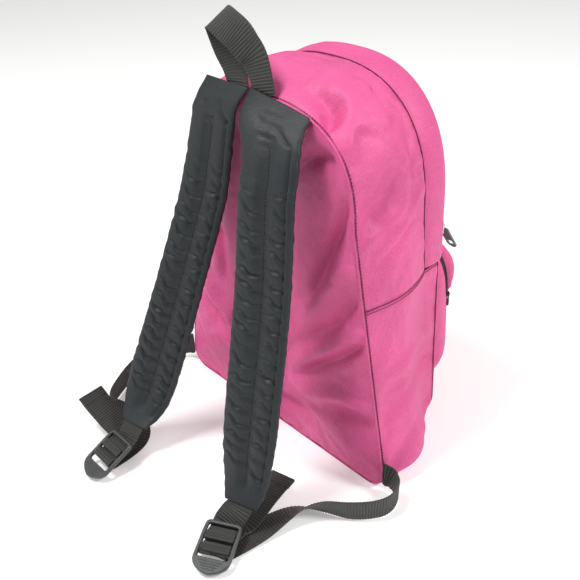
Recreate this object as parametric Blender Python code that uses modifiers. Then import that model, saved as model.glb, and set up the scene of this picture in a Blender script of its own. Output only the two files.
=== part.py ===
"""Soft daypack standing on its base, with its shoulder straps lying in front of the back panel.

Units are metres and +Z is up. The back panel faces -Y, the front pocket faces +Y, +X is on the
right of someone who looks at the back panel, and the origin is on the floor under the middle.
"""

import math

import bmesh
import bpy
import numpy as np
from mathutils import Matrix, Vector

# Cloth, webbing and the gap that touching pieces keep
CLOTH = 0.0016
WEBBING = 0.0018
WEBBING_WIDTH = 0.030
SEAM_GAP = 0.0003

# Back panel: an arch that is wider at its foot
BACK_HEIGHT = 0.390
BACK_HALF_LOW = 0.160
BACK_HALF_HIGH = 0.117
BACK_SHOULDER = 0.290
BACK_CORNER = 0.022
BACK_POWER = 2.7
BACK_BULGE = 0.020
BACK_YOKE = 0.203

BACK_CENTRE = 0.45
BACK_SLACK = 0.55
BACK_ROUND = 2.6

# Front panel: a narrower arch whose lower seam is raised off the floor
FRONT_HEIGHT = 0.405
FRONT_HALF_LOW = 0.130
FRONT_HALF_HIGH = 0.121
FRONT_SHOULDER = 0.270
FRONT_CORNER = 0.030
FRONT_POWER = 2.5
FRONT_LIFT = 0.026
FRONT_BULGE = 0.012
FRONT_ROUND = 2.2
FRONT_YOKE = 0.216

# Gusset between the two arches, with the main zip along its front edge
BAG_DEPTH = 0.124
FLAP_DEPTH = 0.026
ZIP_SEAM_DEPTH = BAG_DEPTH - FLAP_DEPTH
HOOD_BULGE = 0.012
YOKE_SAG = 0.012
BASE_FLAT = 0.68
BASE_REACH = 4.0
BASE_CURL = 0.5
SIDE_SWELL = 1.6
YOKE_SPREAD = 2.5
YOKE_GAP = 0.0009
FLAP_BULGE = 0.005
FLAP_OVERHANG = 0.004
FLAP_TUCK = 0.002
FLAP_GAP = 0.0008
FLAP_LEAN = 0.8
FLAP_START = 0.6
ZIP_START = 0.2

# Bellows pocket on the front panel
POCKET_TOP = 0.230
POCKET_BASE = 0.034
POCKET_HALF = 0.106
POCKET_SHOULDER = 0.175
POCKET_CORNER = 0.030
POCKET_POWER = 3.0
POCKET_FACE_TOP = 0.204
POCKET_FACE_BASE = 0.048
POCKET_FACE_HALF = 0.097
POCKET_BELLOWS = 0.046
POCKET_FACE_DEPTH = BAG_DEPTH + POCKET_BELLOWS
POCKET_BULGE = 0.010
POCKET_ROUND = 2.4
POCKET_ZIP_END = 0.163
POCKET_ZIP_WIDTH = 0.009
POCKET_ZIP_TOP_DEPTH = 0.008
POCKET_GAP = 0.0011
ZIP_FOOT_SHARE = 0.76

# Zip sliders and pulls
SLIDER_WIDTH = 0.0090
SLIDER_LENGTH = 0.0130
SLIDER_PLATE = 0.0018
SLIDER_CHEEK = 0.0012
SLIDER_CHEEK_LENGTH = 0.0040
MAIN_SLIDER_GAP = 0.0012
POCKET_SLIDER_GAP = 0.0004
PIN_RADIUS = 0.0008
PIN_CLEARANCE = 0.0003
EYE_WALL = 0.0008
EYE_LENGTH = 0.0046
PULL_THICKNESS = 0.0018
MAIN_SLIDER_X = 0.1155
MAIN_SLIDER_Z = 0.2465
MAIN_PULL_LENGTH = 0.040
MAIN_PULL_WIDTH = 0.0125
MAIN_PULL_LEAN = 34.0
MAIN_PULL_SLOT = 0.010
POCKET_PULL_LENGTH = 0.0175
POCKET_PULL_WIDTH = 0.0070
POCKET_PULL_SLOT = 0.0040
PULL_SLOT_MARGIN = 0.0032
PULL_SLOT_SIDE = 0.00288
PULL_SHOULDER = 0.6
POCKET_SLIDER_STEP = 0.35

# Shoulder straps
PAD_WIDTH = 0.060
PAD_THICKNESS = 0.011
PAD_GROOVE = 0.003
PAD_SQUARE_SHARE = 0.4

# Half of a pad's outline from one edge over its face to the other, as shares of its half width
# and half thickness; the groove takes the middle one
PAD_PROFILE = ((-1.0, 0.0), (-0.93, 0.62), (-0.62, 1.0), (-0.28, 0.96), (0.0, 1.0),
               (0.28, 0.96), (0.62, 1.0), (0.93, 0.62), (1.0, 0.0))

# Straps and ladder locks
STRAP_REACH = 0.140
LOCK_LENGTH = 0.055
LOCK_WIDTH = 0.041
LOCK_THICKNESS = 0.0046
LOCK_RIM = 0.0040
LOCK_TAB = 0.016
LOCK_BAR = 0.0038
LOCK_BAR_HEIGHT = 0.0030
LOCK_BAR_PLACES = (0.34, 0.70)
LOCK_TOP_SHARE = 0.90
LOCK_SHOULDER = 0.86
LOCK_TAB_ROUND = 0.85
WRAP_SIDE = 1.3
WRAP_CORNER = 0.75
TONGUE_GAP = 0.0004
RIGHT_LOCK_PLACE = (0.104, -0.176, 0.0114)
RIGHT_LOCK_HEADING = 24.0
RIGHT_LOCK_TILT = 9.0
LEFT_LOCK_PLACE = (-0.075, -0.187, 0.0165)
LEFT_LOCK_HEADING = 0.0
LEFT_LOCK_TILT = 25.0

# Grab loop between the straps
LOOP_RISE = 0.066
LOOP_SPREAD = 0.033

# Rows of the loop: side as a share of the legs' spread, lean, back and rise as shares of its
# rise, and the direction of the webbing's width
LOOP_ROWS = (
    {"side": -1.0, "lean": 0.00, "back": 0.00, "rise": 0.00, "width": (1.0, 0.0, 0.0)},
    {"side": -1.0, "lean": -0.10, "back": 0.00, "rise": 0.25, "width": (0.9, 0.3, 0.0)},
    {"side": -1.0, "lean": -0.22, "back": -0.04, "rise": 0.62, "width": (0.5, 0.8, 0.3)},
    {"side": -1.0, "lean": -0.22, "back": -0.06, "rise": 0.92, "width": (0.3, 0.85, 0.4)},
    {"side": -1.0, "lean": -0.12, "back": -0.05, "rise": 1.00, "width": (0.3, 0.9, 0.3)},
    {"side": -0.2, "lean": 0.00, "back": -0.02, "rise": 0.88, "width": (0.5, 0.85, 0.1)},
    {"side": 0.6, "lean": 0.00, "back": 0.00, "rise": 0.60, "width": (0.6, 0.75, 0.0)},
    {"side": 0.95, "lean": 0.00, "back": 0.00, "rise": 0.28, "width": (0.85, 0.4, 0.0)},
    {"side": 1.0, "lean": 0.00, "back": 0.00, "rise": 0.00, "width": (1.0, 0.0, 0.0)},
)

# Where the straps meet at the top seam
STRAP_MEET = -0.013

# How finely the forms are divided
BOTTOM_STEPS = 4
CORNER_STEPS = 3
LOWER_SIDE_STEPS = 4
UPPER_SIDE_STEPS = 4
CROWN_STEPS = 9
RADIAL_STEPS = 7
PAD_STEPS = 27
ROUND_STEPS = 8
DEPTH_STEPS = 6

# Folds in the panels. "place" is where the middle of the fold lies, as shares of the panel's half
# width and height (on the hood and base: the share of the way round and of the depth), "run" is its
# direction in degrees, and length, width and depth are shares of FOLD_LENGTH, FOLD_WIDTH, FOLD_DEPTH
FOLD_LENGTH = 0.100
FOLD_WIDTH = 0.010
FOLD_DEPTH = 0.0050
BACK_FOLDS = (
    {"place": (0.62, 0.28), "run": 215.0, "length": 1.00, "width": 1.0, "depth": 1.0},
    {"place": (0.60, 0.17), "run": 200.0, "length": 0.90, "width": 1.2, "depth": 0.8},
    {"place": (0.45, 0.70), "run": 250.0, "length": 0.90, "width": 1.2, "depth": -0.7},
    {"place": (0.55, 0.48), "run": 262.0, "length": 1.20, "width": 1.5, "depth": 0.7},
    {"place": (-0.55, 0.30), "run": 325.0, "length": 0.90, "width": 1.1, "depth": 0.8},
    {"place": (-0.45, 0.62), "run": 285.0, "length": 1.00, "width": 1.4, "depth": -0.7},
    {"place": (0.05, 0.12), "run": 180.0, "length": 1.10, "width": 1.6, "depth": 0.8},
)
FRONT_FOLDS = (
    {"place": (0.35, 0.74), "run": 300.0, "length": 0.90, "width": 1.3, "depth": 0.8},
    {"place": (-0.40, 0.72), "run": 240.0, "length": 0.90, "width": 1.3, "depth": 0.8},
    {"place": (0.02, 0.82), "run": 270.0, "length": 0.70, "width": 1.5, "depth": -0.6},
)
HOOD_FOLDS = (
    {"place": (0.26, 0.16), "run": 350.0, "length": 0.55, "width": 1.4, "depth": 2.0},
    {"place": (0.13, 0.55), "run": 318.0, "length": 1.10, "width": 1.0, "depth": 1.0},
    {"place": (0.19, 0.60), "run": 300.0, "length": 0.90, "width": 0.9, "depth": 0.8},
    {"place": (0.47, 0.45), "run": 90.0, "length": 0.70, "width": 1.4, "depth": -0.8},
    {"place": (0.75, 0.22), "run": 190.0, "length": 0.60, "width": 1.4, "depth": 1.8},
    {"place": (0.86, 0.55), "run": 225.0, "length": 1.00, "width": 1.0, "depth": 1.0},
)
BASE_FOLDS = (
    {"place": (0.91, 0.50), "run": 40.0, "length": 0.80, "width": 1.0, "depth": 0.9},
    {"place": (0.84, 0.40), "run": 30.0, "length": 0.70, "width": 0.9, "depth": 0.8},
    {"place": (0.10, 0.50), "run": 140.0, "length": 0.80, "width": 1.0, "depth": 0.9},
    {"place": (0.17, 0.42), "run": 150.0, "length": 0.70, "width": 0.9, "depth": 0.8},
)

# Shoulder pads, from the top seam down to the tongue. x is a share of BACK_HALF_LOW, y of
# STRAP_REACH, z of BACK_HEIGHT, width of PAD_WIDTH and thickness of PAD_THICKNESS. turn swings the
# outer edge towards the bag and tilt drops the edge on the +X side, both in degrees
RIGHT_PAD = (
    {"x": 0.170, "y": -0.0125, "z": 0.985, "width": 1.25, "thickness": 0.40, "turn": 0.0, "tilt": 6.0},
    {"x": 0.225, "y": -0.150, "z": 0.958, "width": 1.24, "thickness": 0.70, "turn": 2.0, "tilt": 9.0},
    {"x": 0.290, "y": -0.225, "z": 0.915, "width": 1.08, "thickness": 0.95, "turn": 6.0, "tilt": 7.0},
    {"x": 0.330, "y": -0.290, "z": 0.860, "width": 1.00, "thickness": 1.00, "turn": 12.0, "tilt": 3.0},
    {"x": 0.350, "y": -0.345, "z": 0.805, "width": 0.98, "thickness": 1.00, "turn": 16.0, "tilt": 0.0},
    {"x": 0.415, "y": -0.485, "z": 0.590, "width": 0.97, "thickness": 1.00, "turn": 20.0, "tilt": 0.0},
    {"x": 0.500, "y": -0.705, "z": 0.345, "width": 0.97, "thickness": 1.00, "turn": 20.0, "tilt": 0.0},
    {"x": 0.535, "y": -0.805, "z": 0.228, "width": 0.95, "thickness": 0.98, "turn": 18.0, "tilt": 0.0},
    {"x": 0.560, "y": -0.885, "z": 0.125, "width": 0.82, "thickness": 0.85, "turn": 15.0, "tilt": 0.0},
    {"x": 0.582, "y": -0.960, "z": 0.083, "width": 0.62, "thickness": 0.40, "turn": 15.0, "tilt": 0.0},
)
LEFT_PAD = (
    {"x": -0.335, "y": -0.0160, "z": 0.985, "width": 1.20, "thickness": 0.40, "turn": 0.0, "tilt": -5.0},
    {"x": -0.350, "y": -0.105, "z": 0.945, "width": 1.18, "thickness": 0.70, "turn": 3.0, "tilt": -4.0},
    {"x": -0.365, "y": -0.135, "z": 0.895, "width": 1.06, "thickness": 0.95, "turn": 8.0, "tilt": -2.0},
    {"x": -0.385, "y": -0.195, "z": 0.800, "width": 1.00, "thickness": 1.00, "turn": 15.0, "tilt": 0.0},
    {"x": -0.405, "y": -0.270, "z": 0.705, "width": 0.98, "thickness": 1.00, "turn": 22.0, "tilt": 0.0},
    {"x": -0.435, "y": -0.480, "z": 0.520, "width": 0.97, "thickness": 1.00, "turn": 26.0, "tilt": 0.0},
    {"x": -0.465, "y": -0.665, "z": 0.350, "width": 0.97, "thickness": 1.00, "turn": 28.0, "tilt": 0.0},
    {"x": -0.500, "y": -0.825, "z": 0.190, "width": 0.95, "thickness": 0.98, "turn": 26.0, "tilt": 0.0},
    {"x": -0.500, "y": -0.940, "z": 0.120, "width": 0.82, "thickness": 0.85, "turn": 20.0, "tilt": 0.0},
    {"x": -0.483, "y": -1.040, "z": 0.090, "width": 0.62, "thickness": 0.40, "turn": 5.0, "tilt": 0.0},
)

# Webbing from the bag's lower corner to the ladder lock. x is a share of BACK_HALF_LOW, y of
# STRAP_REACH and z of WEBBING_WIDTH; edge is 90 where the webbing stands on its edge and 0 where it
# lies flat
RIGHT_STRAND = (
    {"x": 1.004, "y": -0.008, "z": 0.90, "edge": 90.0},
    {"x": 1.070, "y": 0.020, "z": 0.72, "edge": 90.0},
    {"x": 1.138, "y": -0.014, "z": 0.60, "edge": 88.0},
    {"x": 1.169, "y": -0.136, "z": 0.57, "edge": 85.0},
    {"x": 1.131, "y": -0.257, "z": 0.56, "edge": 82.0},
    {"x": 1.031, "y": -0.386, "z": 0.55, "edge": 80.0},
    {"x": 0.880, "y": -0.500, "z": 0.50, "edge": 66.0},
    {"x": 0.745, "y": -0.660, "z": 0.28, "edge": 28.0},
    {"x": 0.690, "y": -0.930, "z": 0.10, "edge": 4.0},
)
LEFT_STRAND = (
    {"x": -0.999, "y": -0.008, "z": 0.90, "edge": 90.0},
    {"x": -1.090, "y": -0.060, "z": 0.72, "edge": 90.0},
    {"x": -1.160, "y": -0.250, "z": 0.58, "edge": 88.0},
    {"x": -1.160, "y": -0.500, "z": 0.56, "edge": 86.0},
    {"x": -1.056, "y": -0.771, "z": 0.55, "edge": 84.0},
    {"x": -0.919, "y": -0.975, "z": 0.53, "edge": 78.0},
    {"x": -0.760, "y": -0.960, "z": 0.43, "edge": 50.0},
    {"x": -0.610, "y": -0.950, "z": 0.26, "edge": 20.0},
    {"x": -0.500, "y": -1.060, "z": 0.24, "edge": 4.0},
)

# Free ends of the same webbing beyond the lock, in the same columns
RIGHT_TAIL = (
    {"x": 0.580, "y": -1.020, "z": 0.21, "edge": 0.0},
    {"x": 0.590, "y": -0.930, "z": 0.23, "edge": 0.0},
    {"x": 0.566, "y": -0.730, "z": 0.52, "edge": 4.0},
    {"x": 0.535, "y": -0.505, "z": 0.66, "edge": 8.0},
)
LEFT_TAIL = (
    {"x": -0.500, "y": -1.143, "z": 0.55, "edge": 4.0},
    {"x": -0.590, "y": -1.086, "z": 0.63, "edge": 6.0},
    {"x": -0.720, "y": -1.096, "z": 0.87, "edge": 10.0},
    {"x": -0.845, "y": -1.110, "z": 1.20, "edge": 12.0},
    {"x": -0.940, "y": -1.114, "z": 1.45, "edge": 6.0},
)

# Colours, roughness and metallic values of the finishes
FINISHES = {
    "magenta_nylon": ((0.66, 0.075, 0.245, 1.0), 0.52, 0.0),
    "black_pad_cloth": ((0.030, 0.037, 0.038, 1.0), 0.50, 0.0),
    "black_webbing": ((0.035, 0.035, 0.028, 1.0), 0.70, 0.0),
    "zip_black": ((0.012, 0.010, 0.011, 1.0), 0.55, 0.0),
    "lock_plastic": ((0.075, 0.082, 0.080, 1.0), 0.38, 0.0),
    "slider_metal": ((0.45, 0.45, 0.43, 1.0), 0.30, 1.0),
    "pull_green_grey": ((0.13, 0.19, 0.15, 1.0), 0.45, 0.0),
}


def start_scene():
    """Empty the scene and make the two collections."""
    for thing in list(bpy.data.objects):
        bpy.data.objects.remove(thing, do_unlink=True)
    parts = bpy.data.collections.new("daypack")
    cutters = bpy.data.collections.new("cutters")
    bpy.context.scene.collection.children.link(parts)
    bpy.context.scene.collection.children.link(cutters)
    return parts, cutters


def finish_material(name):
    """The material of one finish, made once."""
    if name in bpy.data.materials:
        return bpy.data.materials[name]
    colour, roughness, metallic = FINISHES[name]
    material = bpy.data.materials.new(name)
    material.use_nodes = True
    shader = material.node_tree.nodes["Principled BSDF"]
    shader.inputs["Base Color"].default_value = colour
    shader.inputs["Roughness"].default_value = roughness
    shader.inputs["Metallic"].default_value = metallic
    material.diffuse_color = colour
    return material


def add_object(name, mesh, finish, collection):
    """Link a mesh as an object of the given finish."""
    piece = bpy.data.objects.new(name, mesh)
    collection.objects.link(piece)
    piece.data.materials.append(finish_material(finish))
    piece.data.shade_smooth()
    piece.data.set_sharp_from_angle(angle=math.radians(50.0))
    return piece


def sheet(name, surface, columns, rows, thickness, finish, side=1.0, weld=False):
    """Cloth of even thickness whose outer face is surface(u, v), with u and v from 0 to 1.

    The wall lies on the side that the cross product of u and v points to, or on the other side
    where side is -1, or on both where it is 0.
    """
    mesh = bpy.data.meshes.new(name)
    shape = bmesh.new()
    bmesh.ops.create_grid(shape, x_segments=columns, y_segments=rows, size=1.0)
    for vertex in shape.verts:
        vertex.co = Vector(surface((vertex.co.x + 1.0) / 2.0, (vertex.co.y + 1.0) / 2.0))
    if weld:
        bmesh.ops.remove_doubles(shape, verts=shape.verts, dist=0.00001)
    shape.to_mesh(mesh)
    shape.free()
    piece = add_object(name, mesh, finish, PARTS)
    wall = piece.modifiers.new("wall", "SOLIDIFY")
    wall.thickness = thickness
    wall.offset = side
    wall.use_even_offset = True
    return piece


def unit(vector):
    """The vector with a length of one."""
    return vector / np.linalg.norm(vector)


def arch_half(size):
    """Right half of an arch, as (x, z) from the middle of its foot to the middle of its crown."""
    points = []
    straight = size["low"] - size["corner"]
    for step in range(BOTTOM_STEPS):
        points.append((straight * step / BOTTOM_STEPS, size["base"]))
    for step in range(CORNER_STEPS):
        angle = math.pi / 2.0 * step / CORNER_STEPS
        points.append((straight + size["corner"] * math.sin(angle),
                       size["base"] + size["corner"] * (1.0 - math.cos(angle))))
    heights = []
    foot = size["base"] + size["corner"]
    for step in range(LOWER_SIDE_STEPS):
        heights.append(foot + (size["yoke"] - foot) * step / LOWER_SIDE_STEPS)
    for step in range(UPPER_SIDE_STEPS):
        heights.append(size["yoke"] + (size["shoulder"] - size["yoke"]) * step / UPPER_SIDE_STEPS)
    for height in heights:
        share = (height - foot) / (size["shoulder"] - foot)
        points.append((size["low"] + (size["high"] - size["low"]) * share, height))
    for step in range(CROWN_STEPS + 1):
        angle = math.pi / 2.0 * step / CROWN_STEPS
        across = max(math.cos(angle), 0.0) ** (2.0 / size["power"])
        rise = math.sin(angle) ** (2.0 / size["power"])
        points.append((size["high"] * across,
                       size["shoulder"] + (size["height"] - size["shoulder"]) * rise))
    return points


def arch_ring(size):
    """Closed arch from the middle of the foot, up the right side, over the crown and down."""
    half = np.array(arch_half(size))
    left = half[-2:0:-1] * np.array([-1.0, 1.0])
    return np.vstack([half, left, half[:1]])


def ring_normals(ring):
    """Outward directions in the plane of a closed ring."""
    along = np.roll(ring[:-1], -1, axis=0) - np.roll(ring[:-1], 1, axis=0)
    outward = np.column_stack([along[:, 1], -along[:, 0]])
    outward /= np.linalg.norm(outward, axis=1)[:, None]
    return np.vstack([outward, outward[:1]])


def at(values, place):
    """Row of an array at a fractional index."""
    place = min(max(place, 0.0), len(values) - 1.0)
    low = min(int(math.floor(place + 1e-9)), len(values) - 2)
    share = place - low
    return values[low] * (1.0 - share) + values[low + 1] * share


BACK_SIZE = {"height": BACK_HEIGHT, "low": BACK_HALF_LOW, "high": BACK_HALF_HIGH, "base": 0.0,
             "shoulder": BACK_SHOULDER, "corner": BACK_CORNER, "power": BACK_POWER, "yoke": BACK_YOKE}
FRONT_SIZE = {"height": FRONT_HEIGHT, "low": FRONT_HALF_LOW, "high": FRONT_HALF_HIGH,
              "base": FRONT_LIFT, "shoulder": FRONT_SHOULDER, "corner": FRONT_CORNER,
              "power": FRONT_POWER, "yoke": FRONT_YOKE}
POCKET_SIZE = {"height": POCKET_TOP, "low": POCKET_HALF, "high": POCKET_HALF, "base": POCKET_BASE,
               "shoulder": POCKET_SHOULDER, "corner": POCKET_CORNER, "power": POCKET_POWER,
               "yoke": POCKET_ZIP_END}
FACE_DROP = POCKET_TOP - POCKET_FACE_TOP
FACE_SIZE = {"height": POCKET_FACE_TOP, "low": POCKET_FACE_HALF, "high": POCKET_FACE_HALF,
             "base": POCKET_FACE_BASE, "shoulder": POCKET_SHOULDER - FACE_DROP,
             "corner": POCKET_CORNER, "power": POCKET_POWER, "yoke": POCKET_ZIP_END - FACE_DROP}

BACK_RING = arch_ring(BACK_SIZE)
FRONT_RING = arch_ring(FRONT_SIZE)
POCKET_RING = arch_ring(POCKET_SIZE)
FACE_RING = arch_ring(FACE_SIZE)
BACK_OUT = ring_normals(BACK_RING)
FRONT_OUT = ring_normals(FRONT_RING)
POCKET_OUT = ring_normals(POCKET_RING)
FACE_OUT = ring_normals(FACE_RING)
RING_STEPS = len(BACK_RING) - 1
YOKE_STEP = BOTTOM_STEPS + CORNER_STEPS + LOWER_SIDE_STEPS
ZIP_SHARE = ZIP_SEAM_DEPTH / BAG_DEPTH
PANEL_INSET = CLOTH + 2.0 * SEAM_GAP


def fold_depth(place, folds, scale):
    """Depth of the folds at a place, both in metres; scale turns a fold's shares into metres."""
    depth = 0.0
    for fold in folds:
        centre = np.array(fold["place"]) * scale
        angle = math.radians(fold["run"])
        run = np.array([math.cos(angle), math.sin(angle)])
        offset = place - centre
        along = float(offset @ run) / (fold["length"] * FOLD_LENGTH / 2.0)
        across = float(offset @ np.array([-run[1], run[0]])) / (fold["width"] * FOLD_WIDTH)
        depth += fold["depth"] * FOLD_DEPTH * math.exp(-across ** 2 - along ** 4)
    return depth


def edge_fade(share):
    """One inside a panel, falling to nothing at its seam."""
    return max(1.0 - share ** 4, 0.0)


def disc_point(ring, outward, share, turn, inset, centre):
    """Point of a panel between its centre and its inset edge, as (x, z)."""
    edge = at(ring, turn * RING_STEPS) - at(outward, turn * RING_STEPS) * inset
    return centre + (edge - centre) * share


def back_point(u, v):
    """Outer face of the back panel."""
    centre = np.array([0.0, BACK_HEIGHT * BACK_CENTRE])
    place = disc_point(BACK_RING, BACK_OUT, v, u, PANEL_INSET, centre)
    low = 1.0 - min(max(place[1] / BACK_HEIGHT, 0.0), 1.0) * BACK_SLACK
    bulge = BACK_BULGE * low * (1.0 - v ** BACK_ROUND)
    folds = fold_depth(place, BACK_FOLDS, np.array([BACK_HALF_LOW, BACK_HEIGHT]))
    return (place[0], -bulge + folds * edge_fade(v), place[1])


def front_face(place, share):
    """Depth of the front panel's outer face at an (x, z) place and a share of the way out."""
    folds = fold_depth(place, FRONT_FOLDS, np.array([FRONT_HALF_LOW, FRONT_HEIGHT]))
    return BAG_DEPTH + FRONT_BULGE * (1.0 - share ** FRONT_ROUND) - folds * edge_fade(share)


FRONT_CENTRE = np.array([0.0, FRONT_HEIGHT * 0.5])


def front_point(u, v):
    """Outer face of the front panel."""
    place = disc_point(FRONT_RING, FRONT_OUT, v, u, PANEL_INSET, FRONT_CENTRE)
    return (place[0], front_face(place, v), place[1])


def front_share(place):
    """How far out an (x, z) place lies on the front panel, from 0 in the middle to 1 at the edge."""
    edges = FRONT_RING - FRONT_OUT * PANEL_INSET - FRONT_CENTRE
    offset = np.array(place) - FRONT_CENTRE
    angles = np.arctan2(edges[:-1, 0], -edges[:-1, 1]) % (2.0 * math.pi)
    angle = math.atan2(offset[0], -offset[1]) % (2.0 * math.pi)
    reach = np.interp(angle, np.append(angles, 2.0 * math.pi),
                      np.linalg.norm(edges, axis=1))
    return min(float(np.linalg.norm(offset) / reach), 1.0)


def shell_point(step, depth, lift=0.0):
    """Outer face of the gusset at a step of the way round and a share of the depth."""
    back = at(BACK_RING, step)
    front = at(FRONT_RING, step)
    out = at(BACK_OUT, step) * (1.0 - depth) + at(FRONT_OUT, step) * depth
    out = unit(out)
    low = min(max(1.0 - back[1] / (BACK_CORNER * BASE_REACH), 0.0), 1.0)
    flat = BASE_FLAT * low
    rise = max((depth - flat) / (1.0 - flat), 0.0) ** (1.0 + BASE_CURL * low)
    across = back[0] + (front[0] - back[0]) * depth
    height = back[1] + (front[1] - back[1]) * rise
    swell = min(max(1.0 + SIDE_SWELL * out[1], 0.0), 1.0)
    bulge = HOOD_BULGE * swell * math.sin(math.pi * min(depth / ZIP_SHARE, 1.0))
    above = (back[1] - BACK_YOKE) / BACK_HALF_LOW * YOKE_SPREAD
    sag = YOKE_SAG * math.sin(math.pi * depth) * math.exp(-above ** 2) * min(abs(out[0]), 1.0)
    place = np.array([across, height - sag]) + out * (bulge + lift)
    return np.array([place[0], depth * BAG_DEPTH, max(place[1], min(lift, 0.0))]), out


def hood_point(u, v):
    """Outer face of the hood, from the right yoke seam over the crown to the left one."""
    gap = YOKE_GAP / 2.0 / (BACK_YOKE / LOWER_SIDE_STEPS)
    first = YOKE_STEP + gap
    last = RING_STEPS - YOKE_STEP - gap
    step = first + (last - first) * u
    point, out = shell_point(step, v * ZIP_SHARE)
    girth = 2.0 * (BACK_HEIGHT + BACK_HALF_HIGH)
    folds = fold_depth(np.array([u * girth, v * ZIP_SEAM_DEPTH]), HOOD_FOLDS,
                       np.array([girth, ZIP_SEAM_DEPTH]))
    sink = folds * math.sin(math.pi * v) ** 1.5 * math.sin(math.pi * u) ** 0.5
    return (point[0] - out[0] * sink, point[1], point[2] - out[1] * sink)


def base_point(u, v):
    """Outer face of the base, from the left yoke seam under the bag to the right one."""
    gap = YOKE_GAP / 2.0 / (BACK_YOKE / LOWER_SIDE_STEPS)
    half = YOKE_STEP - gap
    step = half * (2.0 * u - 1.0)
    place = step if step >= 0.0 else step + RING_STEPS
    point, out = shell_point(place, v)
    girth = 2.0 * (BACK_YOKE + BACK_HALF_LOW)
    folds = fold_depth(np.array([u * girth, v * BAG_DEPTH]), BASE_FOLDS, np.array([girth, BAG_DEPTH]))
    side = min(max(1.0 + SIDE_SWELL * out[1], 0.0), 1.0)
    sink = folds * math.sin(math.pi * v) * side * math.sin(math.pi * u) ** 0.5
    return (point[0] - out[0] * sink, point[1], point[2] - out[1] * sink)


def flap_point(u, v):
    """Outer face of the storm flap over the main zip."""
    first = YOKE_STEP + FLAP_START
    last = RING_STEPS - first
    start = ZIP_SHARE - FLAP_TUCK / BAG_DEPTH
    end = 1.0 + FLAP_OVERHANG / BAG_DEPTH
    depth = start + (end - start) * v
    lift = CLOTH + FLAP_GAP + FLAP_BULGE * math.sin(math.pi * v ** FLAP_LEAN)
    point, _ = shell_point(first + (last - first) * u, depth, lift)
    return tuple(point)


def main_zip_point(u, v):
    """Outer face of the main zip's tape, just under the flap."""
    first = YOKE_STEP + ZIP_START
    last = RING_STEPS - first
    start = ZIP_SHARE + SEAM_GAP / BAG_DEPTH
    end = 1.0 - (CLOTH + 2.0 * SEAM_GAP) / BAG_DEPTH
    lift = -(CLOTH + 2.0 * SEAM_GAP)
    point, _ = shell_point(first + (last - first) * u, start + (end - start) * v, lift)
    return tuple(point)


def make_bag():
    """The main compartment: back, hood, base, zip, flap and front."""
    sheet("back_panel", back_point, RING_STEPS, RADIAL_STEPS, CLOTH, "magenta_nylon", weld=True)
    hood_steps = RING_STEPS - 2 * YOKE_STEP
    sheet("hood_gusset", hood_point, 3 * hood_steps // 2, DEPTH_STEPS, CLOTH, "magenta_nylon")
    sheet("base_gusset", base_point, 2 * YOKE_STEP, DEPTH_STEPS, CLOTH, "magenta_nylon")
    sheet("storm_flap", flap_point, hood_steps, 3, CLOTH, "magenta_nylon")
    sheet("main_zip", main_zip_point, hood_steps, 1, CLOTH, "zip_black")
    sheet("front_panel", front_point, RING_STEPS, RADIAL_STEPS, CLOTH, "magenta_nylon",
          side=-1.0, weld=True)


def zip_depth(step):
    """Where the pocket's zip crosses its gusset, as a share of the depth, at a step of the ring."""
    place = step if step <= RING_STEPS / 2.0 else RING_STEPS - step
    height = at(POCKET_RING, place)[1]
    top = POCKET_ZIP_TOP_DEPTH / (POCKET_FACE_DEPTH - BAG_DEPTH)
    share = (height - POCKET_ZIP_END) / (POCKET_TOP - POCKET_ZIP_END)
    share = min(max(share, 0.0), 1.0)
    return ZIP_FOOT_SHARE + (top - ZIP_FOOT_SHARE) * share


def pocket_shell(step, depth, lift=0.0):
    """Outer face of the pocket's gusset at a step of the way round and a share of its depth."""
    back = at(POCKET_RING, step)
    face = at(FACE_RING, step)
    out = unit(at(POCKET_OUT, step) * (1.0 - depth) + at(FACE_OUT, step) * depth)
    root = front_face(back, front_share(back)) + POCKET_GAP
    swell = POCKET_BULGE * 0.5 * math.sin(math.pi * depth)
    place = back + (face - back) * depth + out * (swell + lift)
    return (place[0], root + (POCKET_FACE_DEPTH - root) * depth, place[1])


def pocket_gusset_point(u, v):
    """The pocket's gusset below and behind its zip."""
    step = RING_STEPS * ((u + 0.5) % 1.0)
    place = step if step <= RING_STEPS / 2.0 else RING_STEPS - step
    end = 1.0 if place < YOKE_STEP - 0.01 else zip_depth(step)
    return pocket_shell(step, end * v)


def zip_band_share():
    """The zip's width as a share of the pocket's depth."""
    return POCKET_ZIP_WIDTH / (POCKET_FACE_DEPTH - BAG_DEPTH)


def pocket_zip_point(u, v):
    """The zip between the pocket's gusset and its hood."""
    step = YOKE_STEP + (RING_STEPS - 2 * YOKE_STEP) * u
    gap = 4.0 * SEAM_GAP / (POCKET_FACE_DEPTH - BAG_DEPTH)
    start = zip_depth(step) + gap
    return pocket_shell(step, start + (zip_band_share() - 2.0 * gap) * v, -SEAM_GAP)


def pocket_hood_point(u, v):
    """The part of the pocket's gusset in front of the zip."""
    step = YOKE_STEP + (RING_STEPS - 2 * YOKE_STEP) * u
    start = zip_depth(step) + zip_band_share()
    return pocket_shell(step, start + (1.0 - start) * v)


def pocket_front_point(u, v):
    """Outer face of the pocket's front."""
    centre = np.array([0.0, (POCKET_FACE_TOP + POCKET_FACE_BASE) / 2.0])
    place = disc_point(FACE_RING, FACE_OUT, v, u, PANEL_INSET, centre)
    return (place[0], POCKET_FACE_DEPTH + POCKET_BULGE * (1.0 - v ** POCKET_ROUND), place[1])


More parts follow.
